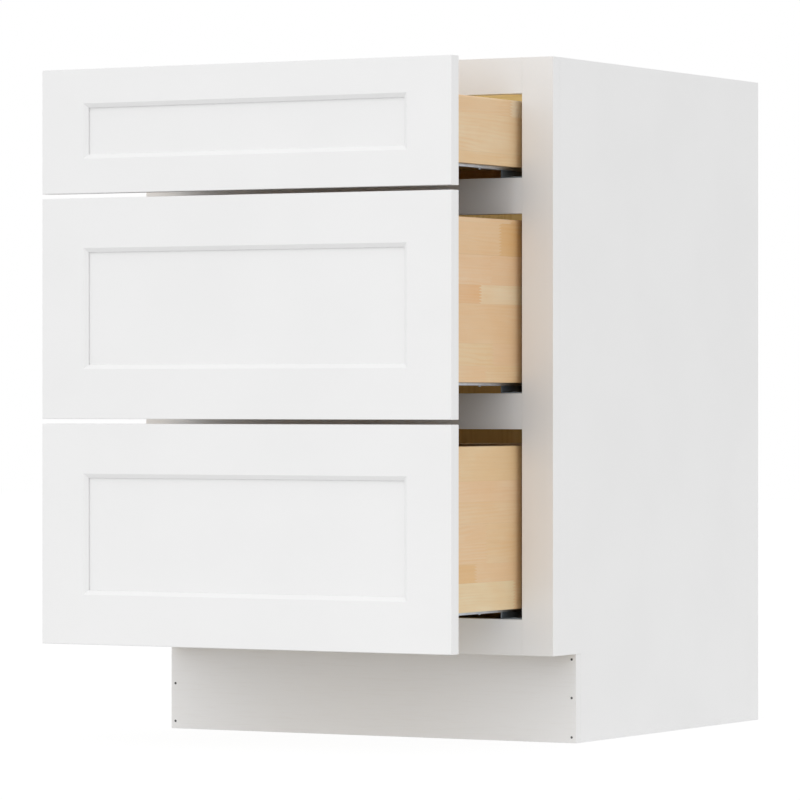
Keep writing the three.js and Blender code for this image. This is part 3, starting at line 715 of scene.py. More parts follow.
@dataclass(frozen=True)
class Plywood(Finish):
    """Clear-coated plywood: veneered faces and striped edges.

    Attributes:
        thickness: The axis through the sheet.
        run: The axis that the face veneer runs along.
        ply: Thickness of one layer.
        seed: Sets this sheet's own figure.
        tones: Pale, middle and dark tone of the face veneer.
        leaf: Width of one leaf of the face veneer.
    """

    thickness: Axis = Axis.Z
    run: Axis = Axis.X
    ply: float = 1.41 * MM
    seed: float = 1.0
    # Default tones: a darker copy of the veneer, painted shade deep in the cabinet.
    tones: tuple[Colour, Colour, Colour] = (srgb(198, 176, 127), srgb(186, 158, 100), srgb(166, 132, 74))
    leaf: float = 150 * MM

    # Leaves of veneer: where the first starts, the palest and darkest, and how far figures lie apart.
    LEAF_STAGGER = 0.31
    LEAF_SALT = 2.0
    LEAF_TINTS = (0.35, 0.65)
    LEAF_SHIFT = 9.0

    # Plies that run along the edge: how their figure is drawn out through and along the sheet.
    EDGE_STRETCH = 3.0
    EDGE_SQUEEZE = 0.1

    # Glue lines between plies: reach as a share of a ply, shade and depth.
    GLUE_REACH = 0.12
    GLUE_SHADE = 0.3
    GLUE_DEPTH = 0.4

    # How much rougher the edges are, and how squarely a face looks out where it starts to show veneer.
    EDGE_GLOSS = 0.1
    FACE_EDGES = (0.45, 0.6)

    def surface(self, graph: Graph) -> Surface:
        """Leaves of veneer on the faces and plies on the edges.

        Args:
            graph: The material's node tree.

        Returns:
            What varies over the piece.
        """
        place = graph.place()
        through = place[self.thickness.value]
        along = place[self.run.value]
        across = next(place[axis.value] for axis in Axis if axis not in (self.thickness, self.run))
        leaves = across / self.leaf + self.seed * self.LEAF_STAGGER
        leaf = graph.random(graph.vector(leaves.floor(), self.seed, self.LEAF_SALT))
        palest, darkest = self.LEAF_TINTS
        tint = leaf * (darkest - palest) + palest
        wood = LongGrain(self.tones, ring_width=9 * MM, contrast=0.6)
        face = wood.draw(along, across, through, tint, leaf * self.LEAF_SHIFT + self.seed)
        plies = through / self.ply
        crossed = (plies * 0.5).fraction() > 0.5
        stretched = through * self.EDGE_STRETCH
        lengthwise = wood.draw(along + across, stretched, across * self.EDGE_SQUEEZE, 0.5, self.seed)
        edge = wood.end(along + across, through).over(crossed, lengthwise)
        glue = plies.fraction().near(0.0, self.GLUE_REACH)
        colour = graph.shade(edge.colour, 1 - glue * self.GLUE_SHADE)
        edge = Surface(colour, edge.roughness + self.EDGE_GLOSS, edge.height - glue * self.GLUE_DEPTH)
        flat = abs(graph.facing()[self.thickness.value]).rise(*self.FACE_EDGES)
        return face.over(flat, edge)


@dataclass(frozen=True)
class CoatedSide(Plywood):
    """A side panel: plywood with maple veneer inside and white paint on its outer face.

    Attributes:
        outer: Distance of the painted face from the cabinet's middle.
        paint: The paint on that face.
        coat: How deep the paint reaches round the face's edges.
    """

    outer: float = 0.3048
    paint: SatinPaint = SatinPaint("side_paint_layer")
    coat: float = 0.25 * MM

    def surface(self, graph: Graph) -> Surface:
        """Paint outside, wood inside and on the edges.

        Args:
            graph: The material's node tree.

        Returns:
            What varies over the piece.
        """
        bare = super().surface(graph)
        outside = abs(graph.place()[Axis.X.value]) > self.outer - self.coat
        return self.paint.surface(graph).over(outside, bare)


@dataclass(frozen=True)
class SheetSteel(Finish):
    """Rolled and plated steel: streaks along the roll, soft clouds in the plating and fine scuffs.

    Attributes:
        metal: 1 for clean plating and less for a dull one.
        bright: The plating where it is brightest.
        dull: The plating where it is dullest.
        gloss: Usual roughness.
        cloud: Clouds in a metre.
    """

    metal: float = 1.0
    bright: Colour = srgb(209, 213, 220)
    dull: Colour = srgb(183, 189, 197)
    gloss: float = 0.38
    cloud: float = 60.0

    # What lies in the plating, and how much each changes the tone, the gloss and the relief.
    STREAKS = Layer((1500.0, 12.0, 1500.0), detail=3.0, rough=0.6)
    SCUFFS = Layer((400.0, 45.0, 400.0))
    CLOUD_EDGES = (0.3, 0.7)
    SCUFF_EDGES = (0.62, 0.75)
    CLOUD_TINT = 0.6
    STREAK_TINT = 0.4
    CLOUD_GLOSS = 0.16
    STREAK_GLOSS = 0.14
    SCUFF_GLOSS = 0.12
    STREAK_RELIEF = 0.6
    CLOUD_RELIEF = 0.4

    def surface(self, graph: Graph) -> Surface:
        """Streaks, clouds and scuffs.

        Args:
            graph: The material's node tree.

        Returns:
            What varies over the piece.
        """
        place = graph.place()
        streaks = self.STREAKS.draw(place)
        clouds = graph.noise(graph.vector(*place), self.cloud, detail=3.0)
        scuffs = self.SCUFFS.draw(place).rise(*self.SCUFF_EDGES)
        tint = clouds.rise(*self.CLOUD_EDGES) * self.CLOUD_TINT + streaks * self.STREAK_TINT
        roughness = self.gloss + (clouds - 0.5) * self.CLOUD_GLOSS + (streaks - 0.5) * self.STREAK_GLOSS
        roughness += scuffs * self.SCUFF_GLOSS
        height = streaks * self.STREAK_RELIEF + clouds * self.CLOUD_RELIEF
        return Surface(graph.mix(tint, self.bright, self.dull), roughness, height)


@dataclass(frozen=True)
class MouldedPlastic(Finish):
    """Moulded plastic with a fine spark-eroded texture and faint flow clouds.

    Attributes:
        tone: The plastic's colour.
        worn_tone: The colour where it has been rubbed.
        gloss: Usual roughness.
        cloud: Clouds in a metre.
        pits: Pits of the texture in a metre.
    """

    tone: Colour = srgb(112, 115, 118)
    worn_tone: Colour = srgb(128, 131, 133)
    gloss: float = 0.5
    cloud: float = 90.0
    pits: float = 2400.0

    # Where the flow clouds rise, and how much the pits change the gloss.
    CLOUD_EDGES = (0.35, 0.75)
    PIT_GLOSS = 0.2

    def surface(self, graph: Graph) -> Surface:
        """Texture and clouds.

        Args:
            graph: The material's node tree.

        Returns:
            What varies over the piece.
        """
        where = graph.vector(*graph.place())
        texture = graph.noise(where, self.pits)
        worn = graph.noise(where, self.cloud).rise(*self.CLOUD_EDGES)
        colour = graph.mix(worn, self.tone, self.worn_tone)
        return Surface(colour, self.gloss + (texture - 0.5) * self.PIT_GLOSS, texture)


class Palette:
    """The finishes that more than one sub-assembly shares."""

    PAINT = SatinPaint("satin_white_paint", relief=0.012 * MM)
    FOIL = EmbossedFoil("toe_board_foil", relief=0.007 * MM)
    ZINC = SheetSteel("plated_steel", relief=0.006 * MM)
    # A darker, bluer copy of the plated steel: painted shade on the parts in shade under the drawers.
    DARK_STEEL = SheetSteel(
        "shade_darkened_zinc",
        relief=0.006 * MM,
        metal=0.3,
        bright=srgb(148, 157, 164),
        dull=srgb(126, 136, 144),
        gloss=0.52,
    )
    NAIL_STEEL = SheetSteel(
        "nail_steel", relief=0.01 * MM, bright=srgb(104, 104, 104), dull=srgb(66, 66, 66), gloss=0.45
    )
    GREY_PLASTIC = MouldedPlastic("grey_plastic")
    SOFT_BUMPER = MouldedPlastic(
        "soft_bumper", tone=srgb(214, 215, 214), worn_tone=srgb(200, 201, 199), gloss=0.32
    )


# ---------------------------------------------------------------- mesh work
Outline = Sequence[tuple[float, float]]

# Ways that a fastener can face.
FORWARD = Vector((0, -1, 0))
BACKWARD = Vector((0, 1, 0))
UP = Vector((0, 0, 1))
DOWN = Vector((0, 0, -1))


def revolved(profile: Outline, sides: int) -> bmesh.types.BMesh:
    """Turns a profile round the Z axis into a closed body.

    Args:
        profile: (radius, height) points from the bottom of the axis to its top.
        sides: Facets round the axis.

    Returns:
        The body.
    """
    body = bmesh.new()
    rings: list[list[bmesh.types.BMVert]] = []
    for radius, height in profile:
        count = sides if radius > 0 else 1
        turns = (2 * math.pi * i / sides for i in range(count))
        spots = [(radius * math.cos(turn), radius * math.sin(turn), height) for turn in turns]
        rings.append([body.verts.new(spot) for spot in spots])
    for lower, upper in zip(rings, rings[1:]):
        for i in range(sides):
            j = (i + 1) % sides
            steps = ((lower, i), (lower, j), (upper, j), (upper, i))
            corners = [ring[step % len(ring)] for ring, step in steps]
            body.faces.new(list(dict.fromkeys(corners)))
    return body


def smooth(body: bmesh.types.BMesh) -> None:
    """Shades every face of a body smoothly and points its faces out.

    Args:
        body: The body.
    """
    bmesh.ops.recalc_face_normals(body, faces=body.faces)
    for face in body.faces:
        face.smooth = True


def facing_matrix(at: Vector, towards: Vector, turn: float = 0.0) -> Matrix:
    """The matrix that puts a body at a point with its Z one way, turned about it in radians."""
    aim = towards.to_track_quat("Z", "Y").to_matrix().to_4x4()
    return Matrix.Translation(at) @ aim @ Matrix.Rotation(turn, 4, "Z")


class Fastener:
    """A small part, such as a screw or a bumper, that is repeated over the cabinet."""

    def body(self) -> bmesh.types.BMesh:
        """Builds it with its seat at the origin and its top along Z. Each kind has its own."""
        raise NotImplementedError


@dataclass(frozen=True)
class PanHead(Fastener):
    """The head of a screw with a cross recess.

    Attributes:
        radius: Radius of the head.
        height: Height of the head.
        flange: Radius of the washer face under it, or 0 for none.
        sides: Facets round the head.
        WASHER_THICKNESS: Thickness of that washer face.
        CROWN_SHARE: Radius of the flat crown as a share of the head's.
        RIM_SHARE: Height of the upright rim as a share of the head's.
        ROUND_STEPS: Facets from the rim to the crown.
        RECESS_REACH: Length of the recess's arms as a share of the radius.
        RECESS_WIDTH: Half the arms' width as a share of it.
        RECESS_DEPTH: Depth of the recess as a share of the height.
        RECESS_FOOT: Size of its foot as a share of its mouth.
    """

    radius: float = 4 * MM
    height: float = 2.2 * MM
    flange: float = 0.0
    sides: int = 28

    WASHER_THICKNESS = 0.5 * MM
    CROWN_SHARE = 0.62
    RIM_SHARE = 0.25
    ROUND_STEPS = 4
    RECESS_REACH = 0.52
    RECESS_WIDTH = 0.17
    RECESS_DEPTH = 0.7
    RECESS_FOOT = 0.62

    def body(self) -> bmesh.types.BMesh:
        """Builds the head with its seat at the origin and its crown up.

        Returns:
            The head.
        """
        profile = self._profile()
        head = revolved(profile, self.sides)
        head.verts.ensure_lookup_table()
        rim = head.verts[-self.sides :]
        rim_edges = [edge for edge in head.edges if all(vert in rim for vert in edge.verts)]
        top = profile[-1][1]
        bottom = top - self.height * self.RECESS_DEPTH
        mouth = [head.verts.new((x, y, top)) for x, y in self._cross(1.0)]
        foot = [head.verts.new((x, y, bottom)) for x, y in self._cross(self.RECESS_FOOT)]
        mouth_edges = [head.edges.new((a, b)) for a, b in zip(mouth, mouth[1:] + mouth[:1])]
        bmesh.ops.triangle_fill(head, use_beauty=True, edges=rim_edges + mouth_edges)
        for i, vert in enumerate(mouth):
            j = (i + 1) % len(mouth)
            head.faces.new((vert, mouth[j], foot[j], foot[i]))
        head.faces.new(foot)
        bmesh.ops.recalc_face_normals(head, faces=head.faces)
        return head

    def _profile(self) -> list[tuple[float, float]]:
        """The head's outline from its seat to the edge of its crown.

        Returns:
            (radius, height) points.
        """
        crown = self.radius * self.CROWN_SHARE
        rim = self.RIM_SHARE * self.height
        seat = self.WASHER_THICKNESS if self.flange else 0.0
        profile = [(0.0, 0.0)]
        if self.flange:
            profile += [(self.flange, 0.0), (self.flange, seat)]
        profile.append((self.radius, seat))
        for step in range(1, self.ROUND_STEPS + 1):
            angle = math.pi / 2 * step / self.ROUND_STEPS
            wide = crown + (self.radius - crown) * math.cos(angle)
            profile.append((wide, seat + rim + (self.height - rim) * math.sin(angle)))
        return profile

    def _cross(self, share: float) -> list[tuple[float, float]]:
        """Corners of the recess, in order round it.

        Args:
            share: Size of this section as a share of the mouth.

        Returns:
            (x, y) points.
        """
        reach = self.radius * self.RECESS_REACH * share
        width = self.radius * self.RECESS_WIDTH * share
        arm = ((reach, -width), (reach, width), (width, width))
        quarter_turns = ((1, 0), (0, 1), (-1, 0), (0, -1))
        return [(x * cos - y * sin, x * sin + y * cos) for cos, sin in quarter_turns for x, y in arm]


@dataclass(frozen=True)
class NailHead(Fastener):
    """The small dished head of a finish nail in the rim of paint that it raised.

    Attributes:
        radius: Radius of the head.
        proud: How far its rim stands above the board.
        sides: Facets round the head.
        PROFILE: From its seat to its middle, as shares of the radius and of the rim's height.
    """

    radius: float = 1.5 * MM
    proud: float = 0.25 * MM
    sides: int = 20

    PROFILE = ((0.0, 0.0), (1.1, 0.0), (1.0, 1.0), (0.72, 0.8), (0.3, 0.3), (0.0, 0.24))

    def body(self) -> bmesh.types.BMesh:
        """Builds the head with its seat at the origin.

        Returns:
            The head.
        """
        profile = [(self.radius * wide, self.proud * high) for wide, high in self.PROFILE]
        head = revolved(profile, self.sides)
        smooth(head)
        return head


@dataclass(frozen=True)
class BumperDot(Fastener):
    """A soft domed dot that stops a drawer front from knocking on the face frame.

    Attributes:
        radius: Radius of the dot.
        height: Height of its crown.
        sides: Facets round the dot.
        STEPS: Facets from its edge to its crown.
        FULLNESS: Power of the arc, less for a squarer shoulder.
    """

    radius: float = 4.2 * MM
    height: float = 1.4 * MM
    sides: int = 28

    STEPS = 6
    FULLNESS = 0.7

    def body(self) -> bmesh.types.BMesh:
        """Builds the dot with its seat at the origin.

        Returns:
            The dot.
        """
        arc = [math.pi / 2 * step / self.STEPS for step in range(self.STEPS)]
        dome = [(self.radius * math.cos(a) ** self.FULLNESS, self.height * math.sin(a)) for a in arc]
        dot = revolved([(0.0, 0.0), *dome, (0.0, self.height)], self.sides)
        smooth(dot)
        return dot


@dataclass(frozen=True)
class StapleCrown(Fastener):
    """The crown of a wire staple, with its shoulders bent down into the wood.

    Attributes:
        span: Width over its legs.
        wire: Thickness of the wire.
        STEPS: Facets of a shoulder.
        PROUD_SHARE: How far the crown stands out of the wood, as a share of the wire.
    """

    span: float = 11 * MM
    wire: float = 1.2 * MM

    STEPS = 4
    PROUD_SHARE = 0.55

    def body(self) -> bmesh.types.BMesh:
        """Builds the crown along X with its seat at the origin.

        Returns:
            The crown.
        """
        staple = bmesh.new()
        reach = self.span / 2
        proud = self.wire * self.PROUD_SHARE
        bend = [math.pi / 2 * step / self.STEPS for step in range(self.STEPS + 1)]
        shoulder = [(reach - self.wire * (1 - math.cos(a)), proud * math.sin(a)) for a in bend]
        top = shoulder + [(-x, z) for x, z in reversed(shoulder)]
        half = self.wire / 2
        near, far = ([staple.verts.new((x, y, z)) for x, z in top] for y in (-half, half))
        for i in range(len(top) - 1):
            staple.faces.new((near[i], near[i + 1], far[i + 1], far[i]))
        staple.faces.new(near)
        staple.faces.new(far[::-1])
        staple.faces.new((near[0], far[0], far[-1], near[-1]))
        bmesh.ops.recalc_face_normals(staple, faces=staple.faces)
        return staple


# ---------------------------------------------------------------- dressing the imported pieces
# Corners this close are joined, and edges that turn more than this angle are broken in so many facets.
WELD_REACH = 0.001 * MM
SHARP_ANGLE = math.radians(34)
ARRIS_STEPS = 2


def dress(node: str, finish: Finish, arris: float) -> None:
    """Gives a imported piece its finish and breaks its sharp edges.

    Args:
        node: The piece's name.
        finish: What it is made of.
        arris: Width of the broken edge, or 0 to leave edges as they are.
    """
    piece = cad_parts[node]
    piece.data.materials.clear()
    piece.data.materials.append(finish.material())
    weld = piece.modifiers.new("joined_corners", "WELD")
    weld.merge_threshold = WELD_REACH
    if arris:
        bevel = piece.modifiers.new("broken_edges", "BEVEL")
        bevel.width = arris
        bevel.segments = ARRIS_STEPS
        bevel.limit_method = "ANGLE"
        bevel.angle_limit = SHARP_ANGLE
    piece.modifiers.new("even_shading", "WEIGHTED_NORMAL")
    log.info("%s: %s", node, finish.name)


def fasten(
    name: str, kind: Fastener, places: Iterable[Matrix], finish: Finish, body: str
) -> None:
    """Makes one piece out of many copies of a fastener and sets it on a body.

    Args:
        name: The piece's name.
        kind: The fastener.
        places: A matrix for each copy.
        finish: What it is made of.
        body: The body that the piece rides on.
    """
    single = kind.body()
    pattern = bpy.data.meshes.new(f"{name}_pattern")
    single.to_mesh(pattern)
    single.free()
    whole = bmesh.new()
    for place in places:
        first = len(whole.verts)
        whole.from_mesh(pattern)
        whole.verts.ensure_lookup_table()
        bmesh.ops.transform(whole, matrix=place, verts=whole.verts[first:])
    mesh = bpy.data.meshes.new(name)
    whole.to_mesh(mesh)
    whole.free()
    bpy.data.meshes.remove(pattern)
    mesh.materials.append(finish.material())
    piece = bpy.data.objects.new(name, mesh)
    bpy.context.scene.collection.objects.link(piece)
    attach(piece, body)
    log.info("%s: rides on %s", piece.name, body)


@dataclass(frozen=True)
class Carcass:
    """Side panels, deck, back, nailer, braces and toe board.

    Attributes:
        BACK_TONES_LIT: Tones of the back panel's veneer, a lighter copy of the plywood's tones:
            painted light from the open top.
        NAILER_TONES_LIT: Tones of the nailer's, a still lighter copy: painted light, strongest
            on the nailer just under the open top.
        panel_arris: Broken edge of the plywood panels.
        board_arris: Broken edge of the toe board.
        nail_inset: Toe-board nails in from each end.
        left_nails: The left end's toe-board nails above the floor.
        right_nails: The right end's.
        staple_spacing: Usual distance between the back panel's staples.
        staple_inset: Those staples in from the panel's edge.
    """

    panel_arris: float = 0.08 * MM
    board_arris: float = 0.4 * MM
    nail_inset: float = 6.2 * MM
    left_nails: tuple[float, float, float] = (10 * MM, 60.5 * MM, 110.4 * MM)
    right_nails: tuple[float, float, float] = (7.5 * MM, 58 * MM, 107.4 * MM)
    staple_spacing: float = 120 * MM
    staple_inset: float = 4 * MM

    # Lighter copies of the plywood's veneer tones: painted light from the open top.
    BACK_TONES_LIT = (srgb(217, 193, 139), srgb(203, 173, 110), srgb(182, 145, 82))
    NAILER_TONES_LIT = (srgb(247, 221, 161), srgb(234, 201, 130), srgb(211, 170, 99))

    def build(self) -> None:
        """Dresses the carcass and drives its nails and staples."""
        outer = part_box("side_panel_right")[1].x
        for hand in Hand:
            panel = CoatedSide(
                f"coated_side_{hand.word}",
                thickness=Axis.X,
                run=Axis.Z,
                seed=5.0 + hand.value,
                outer=outer,
                leaf=200 * MM,
            )
            dress(f"side_panel_{hand.word}", panel, self.panel_arris)
            brace = Plywood(f"brace_ply_{hand.word}", seed=31.0 + hand.value)
            dress(f"corner_brace_{hand.word}", brace, self.panel_arris)
        dress("deck_panel", Plywood("deck_ply", seed=7.0), self.panel_arris)
        back = Plywood("back_ply", thickness=Axis.Y, run=Axis.Z, seed=8.0, tones=self.BACK_TONES_LIT)
        dress("back_panel", back, self.panel_arris)
        nailer = Plywood(
            "nailer_ply", thickness=Axis.Y, run=Axis.X, seed=9.0, ply=1.6 * MM, tones=self.NAILER_TONES_LIT
        )
        dress("back_nailer", nailer, self.panel_arris)
        dress("toe_kick_board", Palette.FOIL, self.board_arris)
        self._nail_toe_board()
        self._staple_back()

    def _nail_toe_board(self) -> None:
        """Three finish nails near each end of the toe board, into the side panels' edges."""
        low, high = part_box("toe_kick_board")
        ends = ((low.x + self.nail_inset, self.left_nails), (high.x - self.nail_inset, self.right_nails))
        spots = [Vector((x, low.y, z)) for x, heights in ends for z in heights]
        places = [facing_matrix(spot, FORWARD) for spot in spots]
        fasten("toe_board_nails", NailHead(), places, Palette.NAIL_STEEL, "cabinet")

    def _staple_back(self) -> None:
        """Staples through the back panel into the side panels, the deck and the nailer."""
        low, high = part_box("back_panel")
        rise, width = high.z - low.z, high.x - low.x
        steps = round(rise / self.staple_spacing)
        across = round(width / self.staple_spacing)
        places = []
        for i in range(steps):
            z = low.z + rise * (i + 0.5) / steps
            for x in (low.x + self.staple_inset, high.x - self.staple_inset):
                places.append(facing_matrix(Vector((x, high.y, z)), BACKWARD, math.pi / 2))
        nailer_low, nailer_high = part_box("back_nailer")
        deck_low, deck_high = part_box("deck_panel")
        for z in ((nailer_low.z + nailer_high.z) / 2, (deck_low.z + deck_high.z) / 2):
            for i in range(1, across):
                places.append(facing_matrix(Vector((low.x + width * i / across, high.y, z)), BACKWARD))
        fasten("back_panel_staples", StapleCrown(), places, Palette.ZINC, "cabinet")


@dataclass(frozen=True)
class FaceFrame:
    """Two stiles and four rails, painted all round.

    Attributes:
        arris: Broken edge of the frame's members.
    """

    arris: float = 0.08 * MM

    def build(self) -> None:
        """Dresses the frame."""
        for name in ("stile_left", "stile_right", "rail_top", "rail_upper", "rail_lower", "rail_bottom"):
            dress(name, Palette.PAINT, self.arris)


@dataclass(frozen=True)
class Drawer:
    """One drawer: its front, box, clips and runners.

    Attributes:
        tier: Which drawer it is.
        front_arris: Broken edge inside the front's bevel.
        board_arris: Broken edge of the box's boards.
        steel_arris: Broken edge of the sheet steel.
        clip_arris: Rounding of the moulded clips.
        screw_spread: Front screws either side of the middle.
        tall_box: Height from which a box front takes a second row of screws.
        tall_rows: Heights of its two rows, as shares of the room above the bottom.
        low_rows: Height of a lower front's only row.
        bumper_inset: Bumpers in from the drawer front's edges.
        clip_rows: Screws of a clip along it, as shares of its length.
        clip_inset: Those screws in from the clip's outer edge.
        clip_depth: Their seats above its underside.
        bracket_inset: Middle of a rear bracket in from the outer edge of its runner.
        bracket_spread: Screws either side of that middle.
        bracket_drop: Those screws below the bracket's top.
        foot_inset: Screw of a runner's front foot in from that edge.
        sheet: Thickness of the runner's steel.
    """

    tier: Tier
    front_arris: float = 0.4 * MM
    board_arris: float = 0.5 * MM
    steel_arris: float = 0.18 * MM
    clip_arris: float = 0.6 * MM
    screw_spread: float = 150 * MM
    tall_box: float = 120 * MM
    tall_rows: tuple[float, ...] = (0.28, 0.76)
    low_rows: tuple[float, ...] = (0.5,)
    bumper_inset: float = 14 * MM
    clip_rows: tuple[float, ...] = (0.2, 0.62)
    clip_inset: float = 4.4 * MM
    clip_depth: float = 1.8 * MM
    bracket_inset: float = 34.75 * MM
    bracket_spread: float = 10 * MM
    bracket_drop: float = 7 * MM
    foot_inset: float = 14.75 * MM
    sheet: float = 1.2 * MM

    FRONT_SCREW = PanHead(radius=4.2 * MM, flange=6.5 * MM)
    CLIP_SCREW = PanHead(radius=2.9 * MM, height=1.5 * MM)
    BRACKET_SCREW = PanHead(height=2 * MM)
    FOOT_SCREW = PanHead(height=0.8 * MM)

    # Where the crosses of the screws stopped: a turn in radians, or its change with a screw's place.
    FRONT_TURN = 0.4
    FRONT_TURN_CHANGE = 9.0
    CLIP_TURN_CHANGE = 5.0
    BRACKET_TURN_CHANGE = 90.0
    FOOT_TURN = 0.5

    def build(self) -> None:
        """Dresses the drawer's pieces and adds its fasteners."""
        word, seed = self.tier.word, float(self.tier.value)
        for part in ("frame", "panel"):
            dress(f"front_{part}_{word}", Palette.PAINT, self.front_arris)
        for end in ("front", "back"):
            board = StaveBoard(f"stave_{end}_{word}", run=Axis.X, seed=seed + len(end))
            dress(f"box_{end}_{word}", board, self.board_arris)
        bottom = Plywood(f"bottom_ply_{word}", seed=seed + 40, ply=1.27 * MM)
        dress(f"box_bottom_{word}", bottom, 0.0)
        handed = (
            ("box_side", StaveBoard(f"stave_side_{word}", run=Axis.Y, seed=seed), self.board_arris),
            ("slide_drawer_member", Palette.ZINC, self.steel_arris),
            ("slide_middle_member", Palette.ZINC, self.steel_arris),
            # The slides' fixed members take the darker copy of the plated steel: painted shade.
            ("slide_cabinet_member", Palette.DARK_STEEL, self.steel_arris),
            ("locking_clip", Palette.GREY_PLASTIC, self.clip_arris),
        )
        for hand in Hand:
            for part, finish, arris in handed:
                dress(f"{part}_{word}_{hand.word}", finish, arris)
        self._screw_front()
        self._stick_bumpers()
        self._screw_clips()
        self._screw_runners()

    def _screw_front(self) -> None:
        """Washer-head screws from inside the box into the drawer front."""
        low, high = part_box(f"box_front_{self.tier.word}")
        panel_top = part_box(f"box_bottom_{self.tier.word}")[1].z
        rise = high.z - panel_top
        places = []
        for row in self.tall_rows if high.z - low.z > self.tall_box else self.low_rows:
            for x in (-self.screw_spread, self.screw_spread):
                spot = Vector((x, high.y, panel_top + rise * row))
                turn = self.FRONT_TURN + x * self.FRONT_TURN_CHANGE
                places.append(facing_matrix(spot, BACKWARD, turn))
        name = f"front_screws_{self.tier.word}"
        fasten(name, self.FRONT_SCREW, places, Palette.ZINC, self.tier.body)

    def _stick_bumpers(self) -> None:
        """A soft dot at each corner of the front's back, where it meets the face frame."""
        low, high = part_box(f"front_frame_{self.tier.word}")
        inset = self.bumper_inset
        places = [
            facing_matrix(Vector((x, high.y, z)), BACKWARD)
            for x in (low.x + inset, high.x - inset)
            for z in (low.z + inset, high.z - inset)
        ]
        name = f"bumpers_{self.tier.word}"
        fasten(name, BumperDot(), places, Palette.SOFT_BUMPER, self.tier.body)

    def _screw_clips(self) -> None:
        """Two screws up through each locking clip into the box."""
        places = []
        for hand in Hand:
            low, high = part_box(f"locking_clip_{self.tier.word}_{hand.word}")
            x = hand.outer((low, high)) - hand.value * self.clip_inset
            for row in self.clip_rows:
                spot = Vector((x, low.y + (high.y - low.y) * row, low.z + self.clip_depth))
                places.append(facing_matrix(spot, DOWN, row * self.CLIP_TURN_CHANGE))
        name = f"clip_screws_{self.tier.word}"
        fasten(name, self.CLIP_SCREW, places, Palette.ZINC, self.tier.body)

    def _screw_runners(self) -> None:
        """Two screws through each rear bracket, and one down through each front foot into the rail."""
        backs, feet = [], []
        frame_low, frame_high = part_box("rail_top")
        frame_middle = (frame_low.y + frame_high.y) / 2
        for hand in Hand:
            low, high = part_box(f"slide_cabinet_member_{self.tier.word}_{hand.word}")
            outer = hand.outer((low, high))
            middle = outer - hand.value * self.bracket_inset
            for aside in (-self.bracket_spread, self.bracket_spread):
                spot = Vector((middle + aside, high.y - self.sheet, high.z - self.bracket_drop))
                backs.append(facing_matrix(spot, FORWARD, aside * self.BRACKET_TURN_CHANGE))
            foot = Vector((outer - hand.value * self.foot_inset, frame_middle, low.z + self.sheet))
            feet.append(facing_matrix(foot, UP, self.FOOT_TURN))
        name = f"bracket_screws_{self.tier.word}"
        fasten(name, self.BRACKET_SCREW, backs, Palette.ZINC, "cabinet")
        name = f"foot_screws_{self.tier.word}"
        # Their screws take the darker copy of the plated steel too: painted shade.
        fasten(name, self.FOOT_SCREW, feet, Palette.DARK_STEEL, "cabinet")


# ---------------------------------------------------------------- studio
@dataclass(frozen=True)
class Lamp:
    """A large soft lamp.

    Attributes:
        name: Its name.
        at: Where it hangs.
        aim: The point that it faces.
        size: Length of its sides.
        watts: Its power.
    """

    name: str
    at: tuple[float, float, float]
    aim: tuple[float, float, float]
    size: float
    watts: float

    def build(self) -> None:
        """Hangs the lamp."""
        data = bpy.data.lights.new(self.name, "AREA")
        data.size = self.size
        data.energy = self.watts
        lamp = bpy.data.objects.new(self.name, data)
        lamp.location = self.at
        lamp.rotation_euler = (Vector(self.aim) - Vector(self.at)).to_track_quat("-Z", "Y").to_euler()
        lamp.visible_camera = False
        bpy.context.scene.collection.objects.link(lamp)
        log.info("%s: lamp", self.name)


